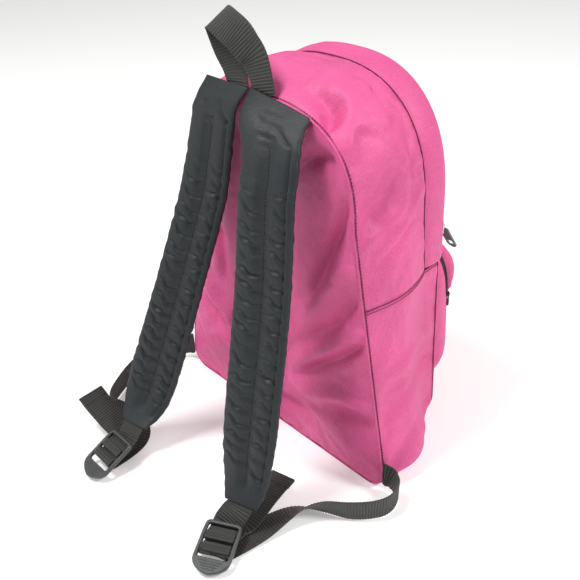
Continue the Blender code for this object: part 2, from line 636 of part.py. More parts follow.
def make_pocket():
    """The bellows pocket on the front panel."""
    hood_steps = RING_STEPS - 2 * YOKE_STEP
    sheet("pocket_gusset", pocket_gusset_point, RING_STEPS, 3, CLOTH, "magenta_nylon", weld=True)
    sheet("pocket_zip", pocket_zip_point, hood_steps, 1, CLOTH, "zip_black")
    sheet("pocket_hood", pocket_hood_point, hood_steps, 2, CLOTH, "magenta_nylon")
    sheet("pocket_front", pocket_front_point, RING_STEPS, 5, CLOTH, "magenta_nylon", side=-1.0,
          weld=True)


def curve_through(points, per_row):
    """Points of a smooth curve through the given rows, with per_row of them from row to row."""
    rows = np.array(points, dtype=float)
    padded = np.vstack([2.0 * rows[0] - rows[1], rows, 2.0 * rows[-1] - rows[-2]])
    fine = []
    for index in range(1, len(padded) - 2):
        before, start, end, after = padded[index - 1:index + 3]
        for share in np.linspace(0.0, 1.0, per_row, endpoint=False):
            fine.append(0.5 * (2.0 * start + (end - before) * share
                               + (2.0 * before - 5.0 * start + 4.0 * end - after) * share ** 2
                               + (3.0 * start - before - 3.0 * end + after) * share ** 3))
    fine.append(rows[-1])
    return np.array(fine)


def smooth_path(points, count):
    """Points at even distances along a smooth curve through the given rows."""
    fine = curve_through(points, 12)
    reach = np.append(0.0, np.cumsum(np.linalg.norm(np.diff(fine[:, :3], axis=0), axis=1)))
    places = np.linspace(0.0, reach[-1], count)
    return np.column_stack([np.interp(places, reach, column) for column in fine.T])


def pad_rows(table):
    """A pad's table in metres: place, width, thickness, turn and tilt."""
    rows = []
    for row in table:
        rows.append((row["x"] * BACK_HALF_LOW, row["y"] * STRAP_REACH, row["z"] * BACK_HEIGHT,
                     row["width"] * PAD_WIDTH, row["thickness"] * PAD_THICKNESS,
                     row["turn"], row["tilt"]))
    return rows


def pad_frame(path, index):
    """Direction along a pad, across it and out of its face at one section."""
    ahead = path[min(index + 1, len(path) - 1), :3]
    behind = path[max(index - 1, 0), :3]
    along = unit(ahead - behind)
    turn, tilt = np.radians(path[index, 5:7])
    across = np.array([math.cos(turn) * math.cos(tilt), math.sin(turn) * math.cos(tilt),
                       -math.sin(tilt)])
    square = min(index / (len(path) * PAD_SQUARE_SHARE), 1.0)
    across = unit(across - along * float(across @ along) * square)
    return along, across, unit(np.cross(along, across))


def pad_section(width, thickness):
    """Cross-section of a quilted pad, as (across, out) points, with a groove along each face."""
    half = width / 2.0
    deep = thickness / 2.0
    groove = min(PAD_GROOVE, deep * 0.5)
    upper = [(across * half, out * deep) for across, out in PAD_PROFILE]
    upper[len(PAD_PROFILE) // 2] = (0.0, deep - groove)
    lower = [(across, -out) for across, out in upper[-2:0:-1]]
    return upper + lower


def loft(name, sections, finish):
    """Closed body through rings of equal length, with both ends filled."""
    count = len(sections[0])
    mesh = bpy.data.meshes.new(name)
    shape = bmesh.new()
    rings = [[shape.verts.new(Vector(point)) for point in section] for section in sections]
    for ring, following in zip(rings[:-1], rings[1:]):
        for index in range(count):
            after = (index + 1) % count
            shape.faces.new((ring[index], ring[after], following[after], following[index]))
    shape.faces.new(tuple(reversed(rings[0])))
    shape.faces.new(tuple(rings[-1]))
    bmesh.ops.recalc_face_normals(shape, faces=shape.faces)
    shape.to_mesh(mesh)
    shape.free()
    return add_object(name, mesh, finish, PARTS)


def make_pad(side, table):
    """One padded shoulder strap."""
    path = smooth_path(pad_rows(table), PAD_STEPS)
    sections = []
    for index in range(len(path)):
        _, across, out = pad_frame(path, index)
        centre = path[index, :3]
        section = pad_section(path[index, 3], path[index, 4])
        sections.append([centre + across * point[0] + out * point[1] for point in section])
    loft(side + "_strap_pad", sections, "black_pad_cloth")
    return path


def lock_axes(place, heading, tilt):
    """Origin and axes of a ladder lock: up the strap, across it and out of its face."""
    turn, lean = math.radians(heading), math.radians(tilt)
    flat = np.array([-math.sin(turn), math.cos(turn), 0.0])
    upward = np.array([0.0, 0.0, 1.0])
    along = flat * math.cos(lean) + upward * math.sin(lean)
    across = np.cross(flat, upward)
    return np.array(place), along, across, np.cross(across, along)


def box_mesh(name, size, centre, collection):
    """A box given by its size and centre, in a ladder lock's own axes."""
    mesh = bpy.data.meshes.new(name)
    shape = bmesh.new()
    bmesh.ops.create_cube(shape, size=1.0)
    for vertex in shape.verts:
        vertex.co = Vector([vertex.co[axis] * size[axis] + centre[axis] for axis in range(3)])
    shape.to_mesh(mesh)
    shape.free()
    box = bpy.data.objects.new(name, mesh)
    collection.objects.link(box)
    return box


def as_cutter(thing):
    """Hide a cutting body from renders and draw it as wire."""
    thing.hide_render = True
    thing.display_type = "WIRE"
    return thing


def combine(piece, other, operation, name):
    """Boolean modifier between a piece and a cutter."""
    step = piece.modifiers.new(name, "BOOLEAN")
    step.operation = operation
    step.solver = "EXACT"
    step.object = other
    return step


def lock_outline():
    """Outline of a ladder lock in its plane: square at the strap's end, a round tab at the other."""
    half, top = LOCK_WIDTH / 2.0, LOCK_LENGTH / 2.0
    waist = -top + LOCK_TAB
    narrow, shoulder = half * LOCK_TOP_SHARE, top * LOCK_SHOULDER
    points = [(narrow, top), (-narrow, top), (-half, shoulder), (-half, waist)]
    for step in range(1, ROUND_STEPS):
        angle = math.pi * step / ROUND_STEPS
        points.append((-half * math.cos(angle), waist - LOCK_TAB * math.sin(angle) ** LOCK_TAB_ROUND))
    points += [(half, waist), (half, shoulder)]
    return points


def lock_window():
    """Top and bottom of the window that the bars cross, along the strap."""
    top = LOCK_LENGTH / 2.0 - LOCK_RIM
    return top, -LOCK_LENGTH / 2.0 + LOCK_TAB


def lock_bars():
    """Middles of the two bars, along the strap, at even distances in the window."""
    top, bottom = lock_window()
    return [top - (top - bottom) * share for share in LOCK_BAR_PLACES]


def make_lock(side, axes):
    """Ladder lock: a plate with a window that two bars cross."""
    name = side + "_ladder_lock"
    mesh = bpy.data.meshes.new(name)
    shape = bmesh.new()
    outline = [shape.verts.new((x, y, -LOCK_THICKNESS / 2.0)) for x, y in lock_outline()]
    face = shape.faces.new(outline)
    pushed = bmesh.ops.extrude_face_region(shape, geom=[face])
    moved = [item for item in pushed["geom"] if isinstance(item, bmesh.types.BMVert)]
    bmesh.ops.translate(shape, verts=moved, vec=(0.0, 0.0, LOCK_THICKNESS))
    bmesh.ops.recalc_face_normals(shape, faces=shape.faces)
    shape.to_mesh(mesh)
    shape.free()
    lock = add_object(name, mesh, "lock_plastic", PARTS)
    top, bottom = lock_window()
    wide = LOCK_WIDTH - 2.0 * LOCK_RIM
    window = box_mesh(side + "_window", (wide, top - bottom, LOCK_THICKNESS * 3.0),
                      (0.0, (top + bottom) / 2.0, 0.0), CUTTERS)
    combine(lock, as_cutter(window), "DIFFERENCE", "window")
    for index, middle in enumerate(lock_bars()):
        bar = box_mesh(side + "_bar_" + str(index), (wide + LOCK_RIM, LOCK_BAR, LOCK_BAR_HEIGHT),
                       (0.0, middle, 0.0), CUTTERS)
        combine(lock, as_cutter(bar), "UNION", "bar")
        place_in(bar, axes)
    place_in(window, axes)
    place_in(lock, axes)
    return lock


def place_in(thing, axes):
    """Give an object the place and turn of a ladder lock's axes."""
    origin, along, across, out = axes
    matrix = np.identity(4)
    matrix[:3, 0], matrix[:3, 1], matrix[:3, 2], matrix[:3, 3] = across, along, out, origin
    thing.matrix_world = Matrix([list(row) for row in matrix])


def local_rows(axes, points):
    """Rows of a webbing path given along and out of a lock, with its width across the lock."""
    origin, along, across, out = axes
    rows = []
    for distance, height in points:
        rows.append(np.concatenate([origin + along * distance + out * height, across]))
    return rows


def strand_rows(table, forward):
    """Rows of a webbing path from a table; forward is 1 where the rows run towards the lock."""
    places = [np.array([row["x"] * BACK_HALF_LOW, row["y"] * STRAP_REACH, row["z"] * WEBBING_WIDTH])
              for row in table]
    rows = []
    for index, row in enumerate(table):
        ahead = places[min(index + 1, len(places) - 1)] - places[max(index - 1, 0)]
        level = unit(np.array([ahead[1], -ahead[0], 0.0]) * -forward)
        edge = math.radians(row["edge"])
        width = level * math.cos(edge) + np.array([0.0, 0.0, 1.0]) * math.sin(edge)
        rows.append(np.concatenate([places[index], width]))
    return rows


def ribbon(name, rows, width, per_row):
    """Flat webbing along a smooth path of rows of place and width direction."""
    path = curve_through(rows, per_row)
    steps = len(path) - 1

    def surface(u, v):
        index = int(round(v * steps))
        along = unit(path[min(index + 1, steps), :3] - path[max(index - 1, 0), :3])
        across = path[index, 3:6]
        square = min(index / per_row, 1.0)
        across = unit(across - along * float(across @ along) * square)
        return path[index, :3] + across * (u - 0.5) * width

    return sheet(name, surface, 1, steps, WEBBING, "black_webbing", side=0.0)


def over_bar(middle, forward):
    """Path of webbing over a bar, as (along, out); forward is 1 where it runs up the strap."""
    reach = WEBBING / 2.0 + SEAM_GAP * 3.0
    beside = LOCK_BAR / 2.0 + reach * WRAP_SIDE
    corner = LOCK_BAR / 2.0 + reach * WRAP_CORNER
    above = LOCK_BAR_HEIGHT / 2.0 + reach
    shoulder = LOCK_BAR_HEIGHT / 2.0 + reach * WRAP_CORNER
    points = [(-beside, 0.0), (-corner, shoulder), (0.0, above), (corner, shoulder), (beside, 0.0)]
    return [(middle + forward * distance, height) for distance, height in points]


def make_strap(side, pad_table, strand, tail, place, heading, tilt):
    """One shoulder strap: pad, its webbing, the ladder lock and the webbing from the bag."""
    path = make_pad(side, pad_table)
    axes = lock_axes(place, heading, tilt)
    make_lock(side, axes)
    first, second = lock_bars()
    top, _ = lock_window()
    under = LOCK_THICKNESS / 2.0 + WEBBING / 2.0 + SEAM_GAP * 2.0
    tail_level = -(under + WEBBING + SEAM_GAP * 2.0)
    strand_level = tail_level - WEBBING - SEAM_GAP * 2.0
    end = path[-1, :3]
    along, across, _ = pad_frame(path, len(path) - 1)
    start = np.concatenate([end + along * TONGUE_GAP, across])
    held = local_rows(axes, [(LOCK_LENGTH / 2.0 + WEBBING, -under - WEBBING / 2.0), (top, -under)]
                      + over_bar(first, -1.0))
    ribbon(side + "_pad_webbing", [start, (start + held[0]) / 2.0] + held, WEBBING_WIDTH, 3)
    through = local_rows(axes, [(second, strand_level)] + over_bar(second, 1.0)
                         + [(first, tail_level)])
    rows = strand_rows(strand, 1.0) + through + strand_rows(tail, -1.0)
    ribbon(side + "_adjuster_webbing", rows, WEBBING_WIDTH, 4)


def make_grab_loop():
    """Loop of webbing whose legs are sewn side by side into the top seam."""
    foot = BACK_HEIGHT + SEAM_GAP
    front = -(WEBBING / 2.0 + SEAM_GAP)
    half = LOOP_SPREAD / 2.0 + SEAM_GAP
    rows = [(STRAP_MEET + half * row["side"] + LOOP_RISE * row["lean"],
             front + LOOP_RISE * row["back"], foot + LOOP_RISE * row["rise"], *row["width"])
            for row in LOOP_ROWS]
    ribbon("grab_loop", rows, WEBBING_WIDTH, 4)


def axes_at(origin, across, up):
    """Origin and axes of a small fitting: up, across and out of its face."""
    across, up = unit(np.array(across, dtype=float)), unit(np.array(up, dtype=float))
    return np.array(origin, dtype=float), up, across, np.cross(across, up)


def rod_mesh(name, radius, length, centre, collection):
    """A round bar along the across axis of a fitting, centred at (across, up, out)."""
    mesh = bpy.data.meshes.new(name)
    shape = bmesh.new()
    bmesh.ops.create_cone(shape, cap_ends=True, segments=16, radius1=radius, radius2=radius,
                          depth=length)
    for vertex in shape.verts:
        x, y, z = vertex.co
        vertex.co = Vector((z + centre[0], x + centre[1], y + centre[2]))
    bmesh.ops.recalc_face_normals(shape, faces=shape.faces)
    shape.to_mesh(mesh)
    shape.free()
    rod = bpy.data.objects.new(name, mesh)
    collection.objects.link(rod)
    return rod


def pin_height():
    """Height of a pull's pin above the face that its slider lies on."""
    return SLIDER_PLATE + PIN_RADIUS + PIN_CLEARANCE + EYE_WALL + PIN_CLEARANCE


def make_slider(name, axes, finish):
    """Zip slider: a plate with two cheeks that hold the pull's pin."""
    body = box_mesh(name, (SLIDER_WIDTH, SLIDER_LENGTH, SLIDER_PLATE),
                    (0.0, 0.0, SLIDER_PLATE / 2.0), PARTS)
    body.data.materials.append(finish_material(finish))
    height = pin_height() + PIN_RADIUS
    apart = EYE_LENGTH / 2.0 + PIN_CLEARANCE + SLIDER_CHEEK / 2.0
    for index, place in enumerate((-apart, apart)):
        cheek = box_mesh(name + "_cheek_" + str(index), (SLIDER_CHEEK, SLIDER_CHEEK_LENGTH, height),
                         (place, 0.0, height / 2.0), CUTTERS)
        combine(body, as_cutter(cheek), "UNION", "cheek")
        place_in(cheek, axes)
    pin = rod_mesh(name + "_pin", PIN_RADIUS, 2.0 * apart, (0.0, 0.0, pin_height()), CUTTERS)
    combine(body, as_cutter(pin), "UNION", "pin")
    place_in(pin, axes)
    place_in(body, axes)


def make_pull(name, axes, length, width, slot, finish):
    """Zip pull: an eye round the slider's pin and a rounded plate with a slot at its free end."""
    eye = PIN_RADIUS + PIN_CLEARANCE + EYE_WALL
    neck = math.hypot(SLIDER_CHEEK_LENGTH / 2.0, eye) + PIN_CLEARANCE * 2.0
    half, narrow = width / 2.0, EYE_LENGTH / 2.0
    shoulder = neck + narrow * PULL_SHOULDER
    points = [(narrow, 0.0), (-narrow, 0.0), (-narrow, -neck), (-half, -shoulder)]
    for step in range(1, ROUND_STEPS):
        angle = math.pi * step / ROUND_STEPS
        points.append((-half * math.cos(angle), -length + half * (1.0 - math.sin(angle))))
    points += [(half, -shoulder), (narrow, -neck)]
    mesh = bpy.data.meshes.new(name)
    shape = bmesh.new()
    outline = [shape.verts.new((x, y, -PULL_THICKNESS / 2.0)) for x, y in points]
    pushed = bmesh.ops.extrude_face_region(shape, geom=[shape.faces.new(outline)])
    moved = [item for item in pushed["geom"] if isinstance(item, bmesh.types.BMVert)]
    bmesh.ops.translate(shape, verts=moved, vec=(0.0, 0.0, PULL_THICKNESS))
    bmesh.ops.recalc_face_normals(shape, faces=shape.faces)
    shape.to_mesh(mesh)
    shape.free()
    pull = add_object(name, mesh, finish, PARTS)
    barrel = rod_mesh(name + "_eye", eye, EYE_LENGTH, (0.0, 0.0, 0.0), CUTTERS)
    combine(pull, as_cutter(barrel), "UNION", "eye")
    bore = rod_mesh(name + "_bore", PIN_RADIUS + PIN_CLEARANCE, EYE_LENGTH * 2.0, (0.0, 0.0, 0.0),
                    CUTTERS)
    combine(pull, as_cutter(bore), "DIFFERENCE", "bore")
    hole = box_mesh(name + "_slot", (width - 2.0 * PULL_SLOT_SIDE, slot, PULL_THICKNESS * 3.0),
                    (0.0, -length + PULL_SLOT_MARGIN + slot / 2.0, 0.0), CUTTERS)
    combine(pull, as_cutter(hole), "DIFFERENCE", "slot")
    for thing in (barrel, bore, hole, pull):
        place_in(thing, axes)


def main_pull_axes():
    """Axes of the main slider, and those of its pull, which leans out on its pin."""
    place = np.array([MAIN_SLIDER_X, MAIN_SLIDER_Z])
    depth = front_face(place, front_share(place)) + MAIN_SLIDER_GAP
    slider = axes_at((MAIN_SLIDER_X, depth, MAIN_SLIDER_Z), (-1.0, 0.0, 0.0), (0.0, 0.0, 1.0))
    lean = math.radians(MAIN_PULL_LEAN)
    pin = slider[0] + slider[3] * pin_height()
    pull = axes_at(pin, (-1.0, 0.0, 0.0), (0.0, -math.sin(lean), math.cos(lean)))
    return slider, pull


def pocket_pull_axes():
    """Axes of the pocket's slider and of its pull, on the right side where the zip ends."""
    place = YOKE_STEP + POCKET_SLIDER_STEP
    middle = zip_band_share() / 2.0
    seat = np.array(pocket_shell(place, zip_depth(place) + middle))
    above = np.array(pocket_shell(place + 0.5, zip_depth(place + 0.5) + middle))
    beside = np.array(pocket_shell(place, zip_depth(place)))
    up = unit(above - seat)
    out = unit(np.cross(up, seat - beside))
    out = out * math.copysign(1.0, out[0])
    across = np.cross(up, out)
    slider = axes_at(seat + out * POCKET_SLIDER_GAP, across, up)
    pin = slider[0] + slider[3] * pin_height()
    return slider, axes_at(pin, across, up)


def make_pulls():
    """Both sliders with their pulls."""
    slider, pull = main_pull_axes()
    make_slider("main_slider", slider, "slider_metal")
    make_pull("main_pull", pull, MAIN_PULL_LENGTH, MAIN_PULL_WIDTH, MAIN_PULL_SLOT,
              "pull_green_grey")
    slider, pull = pocket_pull_axes()
    make_slider("pocket_slider", slider, "slider_metal")
    make_pull("pocket_pull", pull, POCKET_PULL_LENGTH, POCKET_PULL_WIDTH, POCKET_PULL_SLOT,
              "zip_black")


PARTS, CUTTERS = start_scene()


def put_origin_under_middle():
    """Move every object so that the origin is on the floor under the middle of the whole."""
    bpy.context.view_layer.update()
    graph = bpy.context.evaluated_depsgraph_get()
    corners = []
    for piece in PARTS.objects:
        solid = piece.evaluated_get(graph)
        corners += [solid.matrix_world @ vertex.co for vertex in solid.data.vertices]
    corners = np.array([tuple(corner) for corner in corners])
    low, high = corners.min(axis=0), corners.max(axis=0)
    shift = Matrix.Translation((-(low[0] + high[0]) / 2.0, -(low[1] + high[1]) / 2.0, -low[2]))
    for thing in list(PARTS.objects) + list(CUTTERS.objects):
        thing.matrix_world = shift @ thing.matrix_world


def main():
    """Build every piece of the daypack."""
    make_bag()
    make_pocket()
    make_pulls()
    make_strap("right", RIGHT_PAD, RIGHT_STRAND, RIGHT_TAIL, RIGHT_LOCK_PLACE,
               RIGHT_LOCK_HEADING, RIGHT_LOCK_TILT)
    make_strap("left", LEFT_PAD, LEFT_STRAND, LEFT_TAIL, LEFT_LOCK_PLACE,
               LEFT_LOCK_HEADING, LEFT_LOCK_TILT)
    make_grab_loop()
    put_origin_under_middle()


main()
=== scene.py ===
"""Looks of the soft daypack: cloth, quilted pads, webbing, zips and fittings around the frame.

Units are metres in the frame's axes. The bag's own formulas have the middle of the back seam's foot
as their origin, and HOME is where that lies in the frame.
"""

import math

import bpy
import numpy as np
from mathutils import Matrix, Vector, geometry, noise


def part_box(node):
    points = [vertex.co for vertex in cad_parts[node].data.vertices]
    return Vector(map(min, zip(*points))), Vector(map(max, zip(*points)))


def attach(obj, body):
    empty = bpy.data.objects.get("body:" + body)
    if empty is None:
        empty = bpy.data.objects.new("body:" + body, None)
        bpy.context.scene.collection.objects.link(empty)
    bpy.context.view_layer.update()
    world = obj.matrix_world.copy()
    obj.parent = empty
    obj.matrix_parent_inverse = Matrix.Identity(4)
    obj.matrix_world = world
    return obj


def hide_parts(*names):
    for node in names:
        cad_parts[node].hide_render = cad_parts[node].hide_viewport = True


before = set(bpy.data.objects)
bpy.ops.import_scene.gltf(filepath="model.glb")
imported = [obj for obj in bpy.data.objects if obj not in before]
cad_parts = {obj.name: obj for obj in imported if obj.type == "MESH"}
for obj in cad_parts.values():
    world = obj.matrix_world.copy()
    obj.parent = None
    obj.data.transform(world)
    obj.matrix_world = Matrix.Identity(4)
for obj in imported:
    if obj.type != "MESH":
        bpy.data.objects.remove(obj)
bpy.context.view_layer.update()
FRONT_LOW, FRONT_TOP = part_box("front_panel")
HOME = np.array([(FRONT_LOW.x + FRONT_TOP.x) / 2.0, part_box("hood_gusset")[0].y, 0.0])

# The camera stands where the photograph was taken, in the bag's own axes
CAMERA_PLACE = (0.542831, -0.453367, 0.631246)
CAMERA_AZIMUTH = 48.6016
CAMERA_ELEVATION = 32.6981
CAMERA_ROLL = 2.6150
CAMERA_LENS = 49.6147
CAMERA_SENSOR = 36.0

# Cloth, webbing and gaps
CLOTH = 0.0016
WEBBING = 0.0018
WEBBING_WIDTH = 0.030
SEAM_GAP = 0.0003
PANEL_INSET = CLOTH + 2.0 * SEAM_GAP

# The bag's sizes, near those of the solids
BACK = {"height": 0.390, "low": 0.160, "high": 0.117, "base": 0.0, "shoulder": 0.290,
        "corner": 0.022, "power": 2.7, "yoke": 0.210}
FRONT = {"height": 0.405, "low": 0.124, "high": 0.118, "base": 0.014, "shoulder": 0.270,
         "corner": 0.020, "power": 2.5, "yoke": 0.209}
POCKET = {"height": 0.230, "low": 0.107, "high": 0.106, "base": 0.037, "shoulder": 0.175,
          "corner": 0.030, "power": 3.0, "yoke": 0.163}
FACE = {"height": 0.204, "low": 0.102, "high": 0.099, "base": 0.050, "shoulder": 0.149,
        "corner": 0.030, "power": 3.0, "yoke": 0.137}
BAG_DEPTH = 0.124
ZIP_SHARE = 0.098 / BAG_DEPTH
BACK_BULGE = 0.020
FRONT_BULGE = 0.012
HOOD_BULGE = 0.012
YOKE_SAG = -0.001
BASE_FLAT = 0.68
FOOT_SLUMP = 0.014
FLAP_BULGE = 0.0018
FLAP_GAP = 0.0008
FLAP_START = 0.22
FLAP_TUCK = 0.002
FLAP_OVERHANG = 0.004
ZIP_START = 0.3
WELT_RADIUS = 0.0010
SEAM_SHADE_CORD_RADIUS = 0.00038
POCKET_DEPTH = 0.170
POCKET_BULGE = 0.010
POCKET_GAP = 0.0011
POCKET_ZIP_WIDTH = 0.009
POCKET_ZIP_TOP = 0.008
ZIP_FOOT_SHARE = 0.76

# Ring parts: foot, corner, lower side, upper side and crown of half an arch
RING_PARTS = (4, 3, 4, 4, 9)
FINER = 8
HALF_STEPS = sum(RING_PARTS)
RING_STEPS = 2 * HALF_STEPS
YOKE_STEP = sum(RING_PARTS[:3])


def unit(vector):
    """The vector with a length of one."""
    return vector / np.linalg.norm(vector)


def arch_ring(size):
    """Closed arch from the middle of the foot round to the right, FINER points to each step."""
    foot, corner, lower, upper, crown = [count * FINER for count in RING_PARTS]
    straight = size["low"] - size["corner"]
    knee = size["base"] + size["corner"]
    points = [(straight * step / foot, size["base"]) for step in range(foot)]
    for step in range(corner):
        angle = math.pi / 2.0 * step / corner
        points.append((straight + size["corner"] * math.sin(angle),
                       size["base"] + size["corner"] * (1.0 - math.cos(angle))))
    heights = [knee + (size["yoke"] - knee) * step / lower for step in range(lower)]
    heights += [size["yoke"] + (size["shoulder"] - size["yoke"]) * step / upper
                for step in range(upper)]
    for height in heights:
        share = (height - knee) / (size["shoulder"] - knee)
        points.append((size["low"] + (size["high"] - size["low"]) * share, height))
    for step in range(crown + 1):
        angle = math.pi / 2.0 * step / crown
        points.append((size["high"] * max(math.cos(angle), 0.0) ** (2.0 / size["power"]),
                       size["shoulder"] + (size["height"] - size["shoulder"])
                       * math.sin(angle) ** (2.0 / size["power"])))
    half = np.array(points)
    left = half[-2:0:-1] * np.array([-1.0, 1.0])
    return np.vstack([half, left, half[:1]])


def ring_normals(ring):
    """Outward directions in the plane of a closed ring."""
    along = np.roll(ring[:-1], -3, axis=0) - np.roll(ring[:-1], 3, axis=0)
    outward = np.column_stack([along[:, 1], -along[:, 0]])
    outward /= np.linalg.norm(outward, axis=1)[:, None]
    return np.vstack([outward, outward[:1]])


def at(values, step):
    """Row of a ring's array at a fractional step."""
    place = min(max(step * FINER, 0.0), len(values) - 1.0)
    low = min(int(math.floor(place + 1e-9)), len(values) - 2)
    share = place - low
    return values[low] * (1.0 - share) + values[low + 1] * share


BACK_RING, FRONT_RING, POCKET_RING, FACE_RING = [arch_ring(s) for s in (BACK, FRONT, POCKET, FACE)]
BACK_OUT, FRONT_OUT, POCKET_OUT, FACE_OUT = [ring_normals(r) for r in (BACK_RING, FRONT_RING,
                                                                       POCKET_RING, FACE_RING)]


def shell_point(step, depth, lift=0.0):
    """Outer face of the gusset at a step of the way round and a share of the depth."""
    back, front = at(BACK_RING, step), at(FRONT_RING, step)
    out = unit(at(BACK_OUT, step) * (1.0 - depth) + at(FRONT_OUT, step) * depth)
    low = min(max(1.0 - back[1] / (BACK["corner"] * 4.0), 0.0), 1.0)
    flat = BASE_FLAT * low
    rise = max((depth - flat) / (1.0 - flat), 0.0) ** (1.0 + 0.5 * low)
    across = back[0] + (front[0] - back[0]) * depth
    height = back[1] + (front[1] - back[1]) * rise
    swell = min(max(1.0 + 1.6 * out[1], 0.0), 1.0)
    bulge = HOOD_BULGE * swell * math.sin(math.pi * min(depth / ZIP_SHARE, 1.0))
    near = (back[1] - BACK["yoke"]) / BACK["low"] * 2.5
    sag = YOKE_SAG * math.sin(math.pi * depth) * math.exp(-near ** 2) * min(abs(out[0]), 1.0)
    slump = FOOT_SLUMP * math.sin(math.pi * depth) * math.exp(-(height / 0.07) ** 2) * abs(out[0])
    place = np.array([across, height - sag]) + out * (bulge + slump + lift)
    return np.array([place[0], depth * BAG_DEPTH, max(place[1], min(lift, 0.0))]), out


def front_share(place, ring, outward, centre):
    """How far out a place lies on a panel, from 0 in the middle to 1 at the edge."""
    edges = ring - outward * PANEL_INSET - centre
    offset = place - centre
    angles = np.arctan2(edges[:-1, 0], -edges[:-1, 1]) % (2.0 * math.pi)
    order = np.argsort(angles)
    angle = np.arctan2(offset[..., 0], -offset[..., 1]) % (2.0 * math.pi)
    reach = np.interp(angle, angles[order], np.linalg.norm(edges[:-1], axis=1)[order],
                      period=2.0 * math.pi)
    return np.minimum(np.linalg.norm(offset, axis=-1) / reach, 1.0)


FRONT_CENTRE = np.array([0.0, FRONT["height"] * 0.5])
BACK_CENTRE = np.array([0.0, BACK["height"] * 0.45])
FACE_CENTRE = np.array([0.0, (FACE["height"] + FACE["base"]) / 2.0])


def front_depth(place):
    """Depth of the front panel at an (x, z) place."""
    share = front_share(np.array(place), FRONT_RING, FRONT_OUT, FRONT_CENTRE)
    return BAG_DEPTH + FRONT_BULGE * (1.0 - share ** 2.2)


def pocket_shell(step, depth, lift=0.0):
    """Outer face of the pocket's gusset at a step of the way round and a share of its depth."""
    back, face = at(POCKET_RING, step), at(FACE_RING, step)
    out = unit(at(POCKET_OUT, step) * (1.0 - depth) + at(FACE_OUT, step) * depth)
    root = float(front_depth(back)) + POCKET_GAP
    place = back + (face - back) * depth
    place = place + out * (POCKET_BULGE * 0.8 * math.sin(math.pi * depth) + lift)
    return np.array([place[0], root + (POCKET_DEPTH - root) * depth, place[1]]), out


def zip_depth(step):
    """Where the pocket's zip crosses its gusset, as a share of the depth."""
    place = step if step <= HALF_STEPS else RING_STEPS - step
    height = at(POCKET_RING, place)[1]
    top = POCKET_ZIP_TOP / (POCKET_DEPTH - BAG_DEPTH)
    share = min(max((height - POCKET["yoke"]) / (POCKET["height"] - POCKET["yoke"]), 0.0), 1.0)
    return ZIP_FOOT_SHARE + (top - ZIP_FOOT_SHARE) * share


PUFF = 0.007
ZIP_BAND = POCKET_ZIP_WIDTH / (POCKET_DEPTH - BAG_DEPTH)


# Finishes
def fill(tree, node, inputs):
    """Give a node its inputs, which are values or other nodes' outputs."""
    for name, value in inputs.items():
        if isinstance(value, bpy.types.NodeSocket):
            tree.links.new(value, node.inputs[name])
        else:
            node.inputs[name].default_value = value


def new_material(name):
    """A material with its node tree and shader."""
    material = bpy.data.materials.new(name)
    material.use_nodes = True
    tree = material.node_tree
    return material, tree, tree.nodes["Principled BSDF"]


def add_node(tree, kind, output, inputs=None, **settings):
    """One output of a new node with its settings and its inputs."""
    node = tree.nodes.new(kind)
    for name, value in settings.items():
        setattr(node, name, value)
    fill(tree, node, inputs or {})
    return node.outputs[output]


def maths(tree, operation, first, second):
    """Two values added or multiplied."""
    return add_node(tree, "ShaderNodeMath", 0, {0: first, 1: second}, operation=operation)


def span(tree, value, low, high, start=0.0, end=1.0):
    """A value between start and end moved to between low and high."""
    return add_node(tree, "ShaderNodeMapRange", "Result",
                    {"Value": value, 1: start, 2: end, 3: low, 4: high})


def speckle(tree, place, scale, detail, roughness=0.5, distortion=0.0):
    """Soft noise."""
    return add_node(tree, "ShaderNodeTexNoise", "Fac",
                    {"Vector": place, "Scale": scale, "Detail": detail, "Roughness": roughness,
                     "Distortion": distortion})


def bands(tree, place, scale, direction, distortion=0.0, detail=2.0, phase=0.0):
    """Even bands."""
    return add_node(tree, "ShaderNodeTexWave", "Fac",
                    {"Vector": place, "Scale": scale, "Distortion": distortion, "Detail": detail,
                     "Phase Offset": phase}, bands_direction=direction)


def bump(tree, height, strength, distance=0.0003, over=None):
    """Relief of the given height, over other relief if there is any."""
    inputs = {"Height": height, "Strength": strength, "Distance": distance}
    if over:
        inputs["Normal"] = over
    return add_node(tree, "ShaderNodeBump", "Normal", inputs)


def ramp(tree, factor, stops):
    """A colour ramp with stops of place and colour."""
    node = tree.nodes.new("ShaderNodeValToRGB")
    tree.links.new(factor, node.inputs["Fac"])
    while len(node.color_ramp.elements) < len(stops):
        node.color_ramp.elements.new(0.5)
    for element, (place, colour) in zip(node.color_ramp.elements, stops):
        element.position = place
        element.color = colour
    return node.outputs["Color"]


def shade(colour, factor):
    """A colour made lighter or darker."""
    return tuple(min(channel * factor, 1.0) for channel in colour[:3]) + (1.0,)


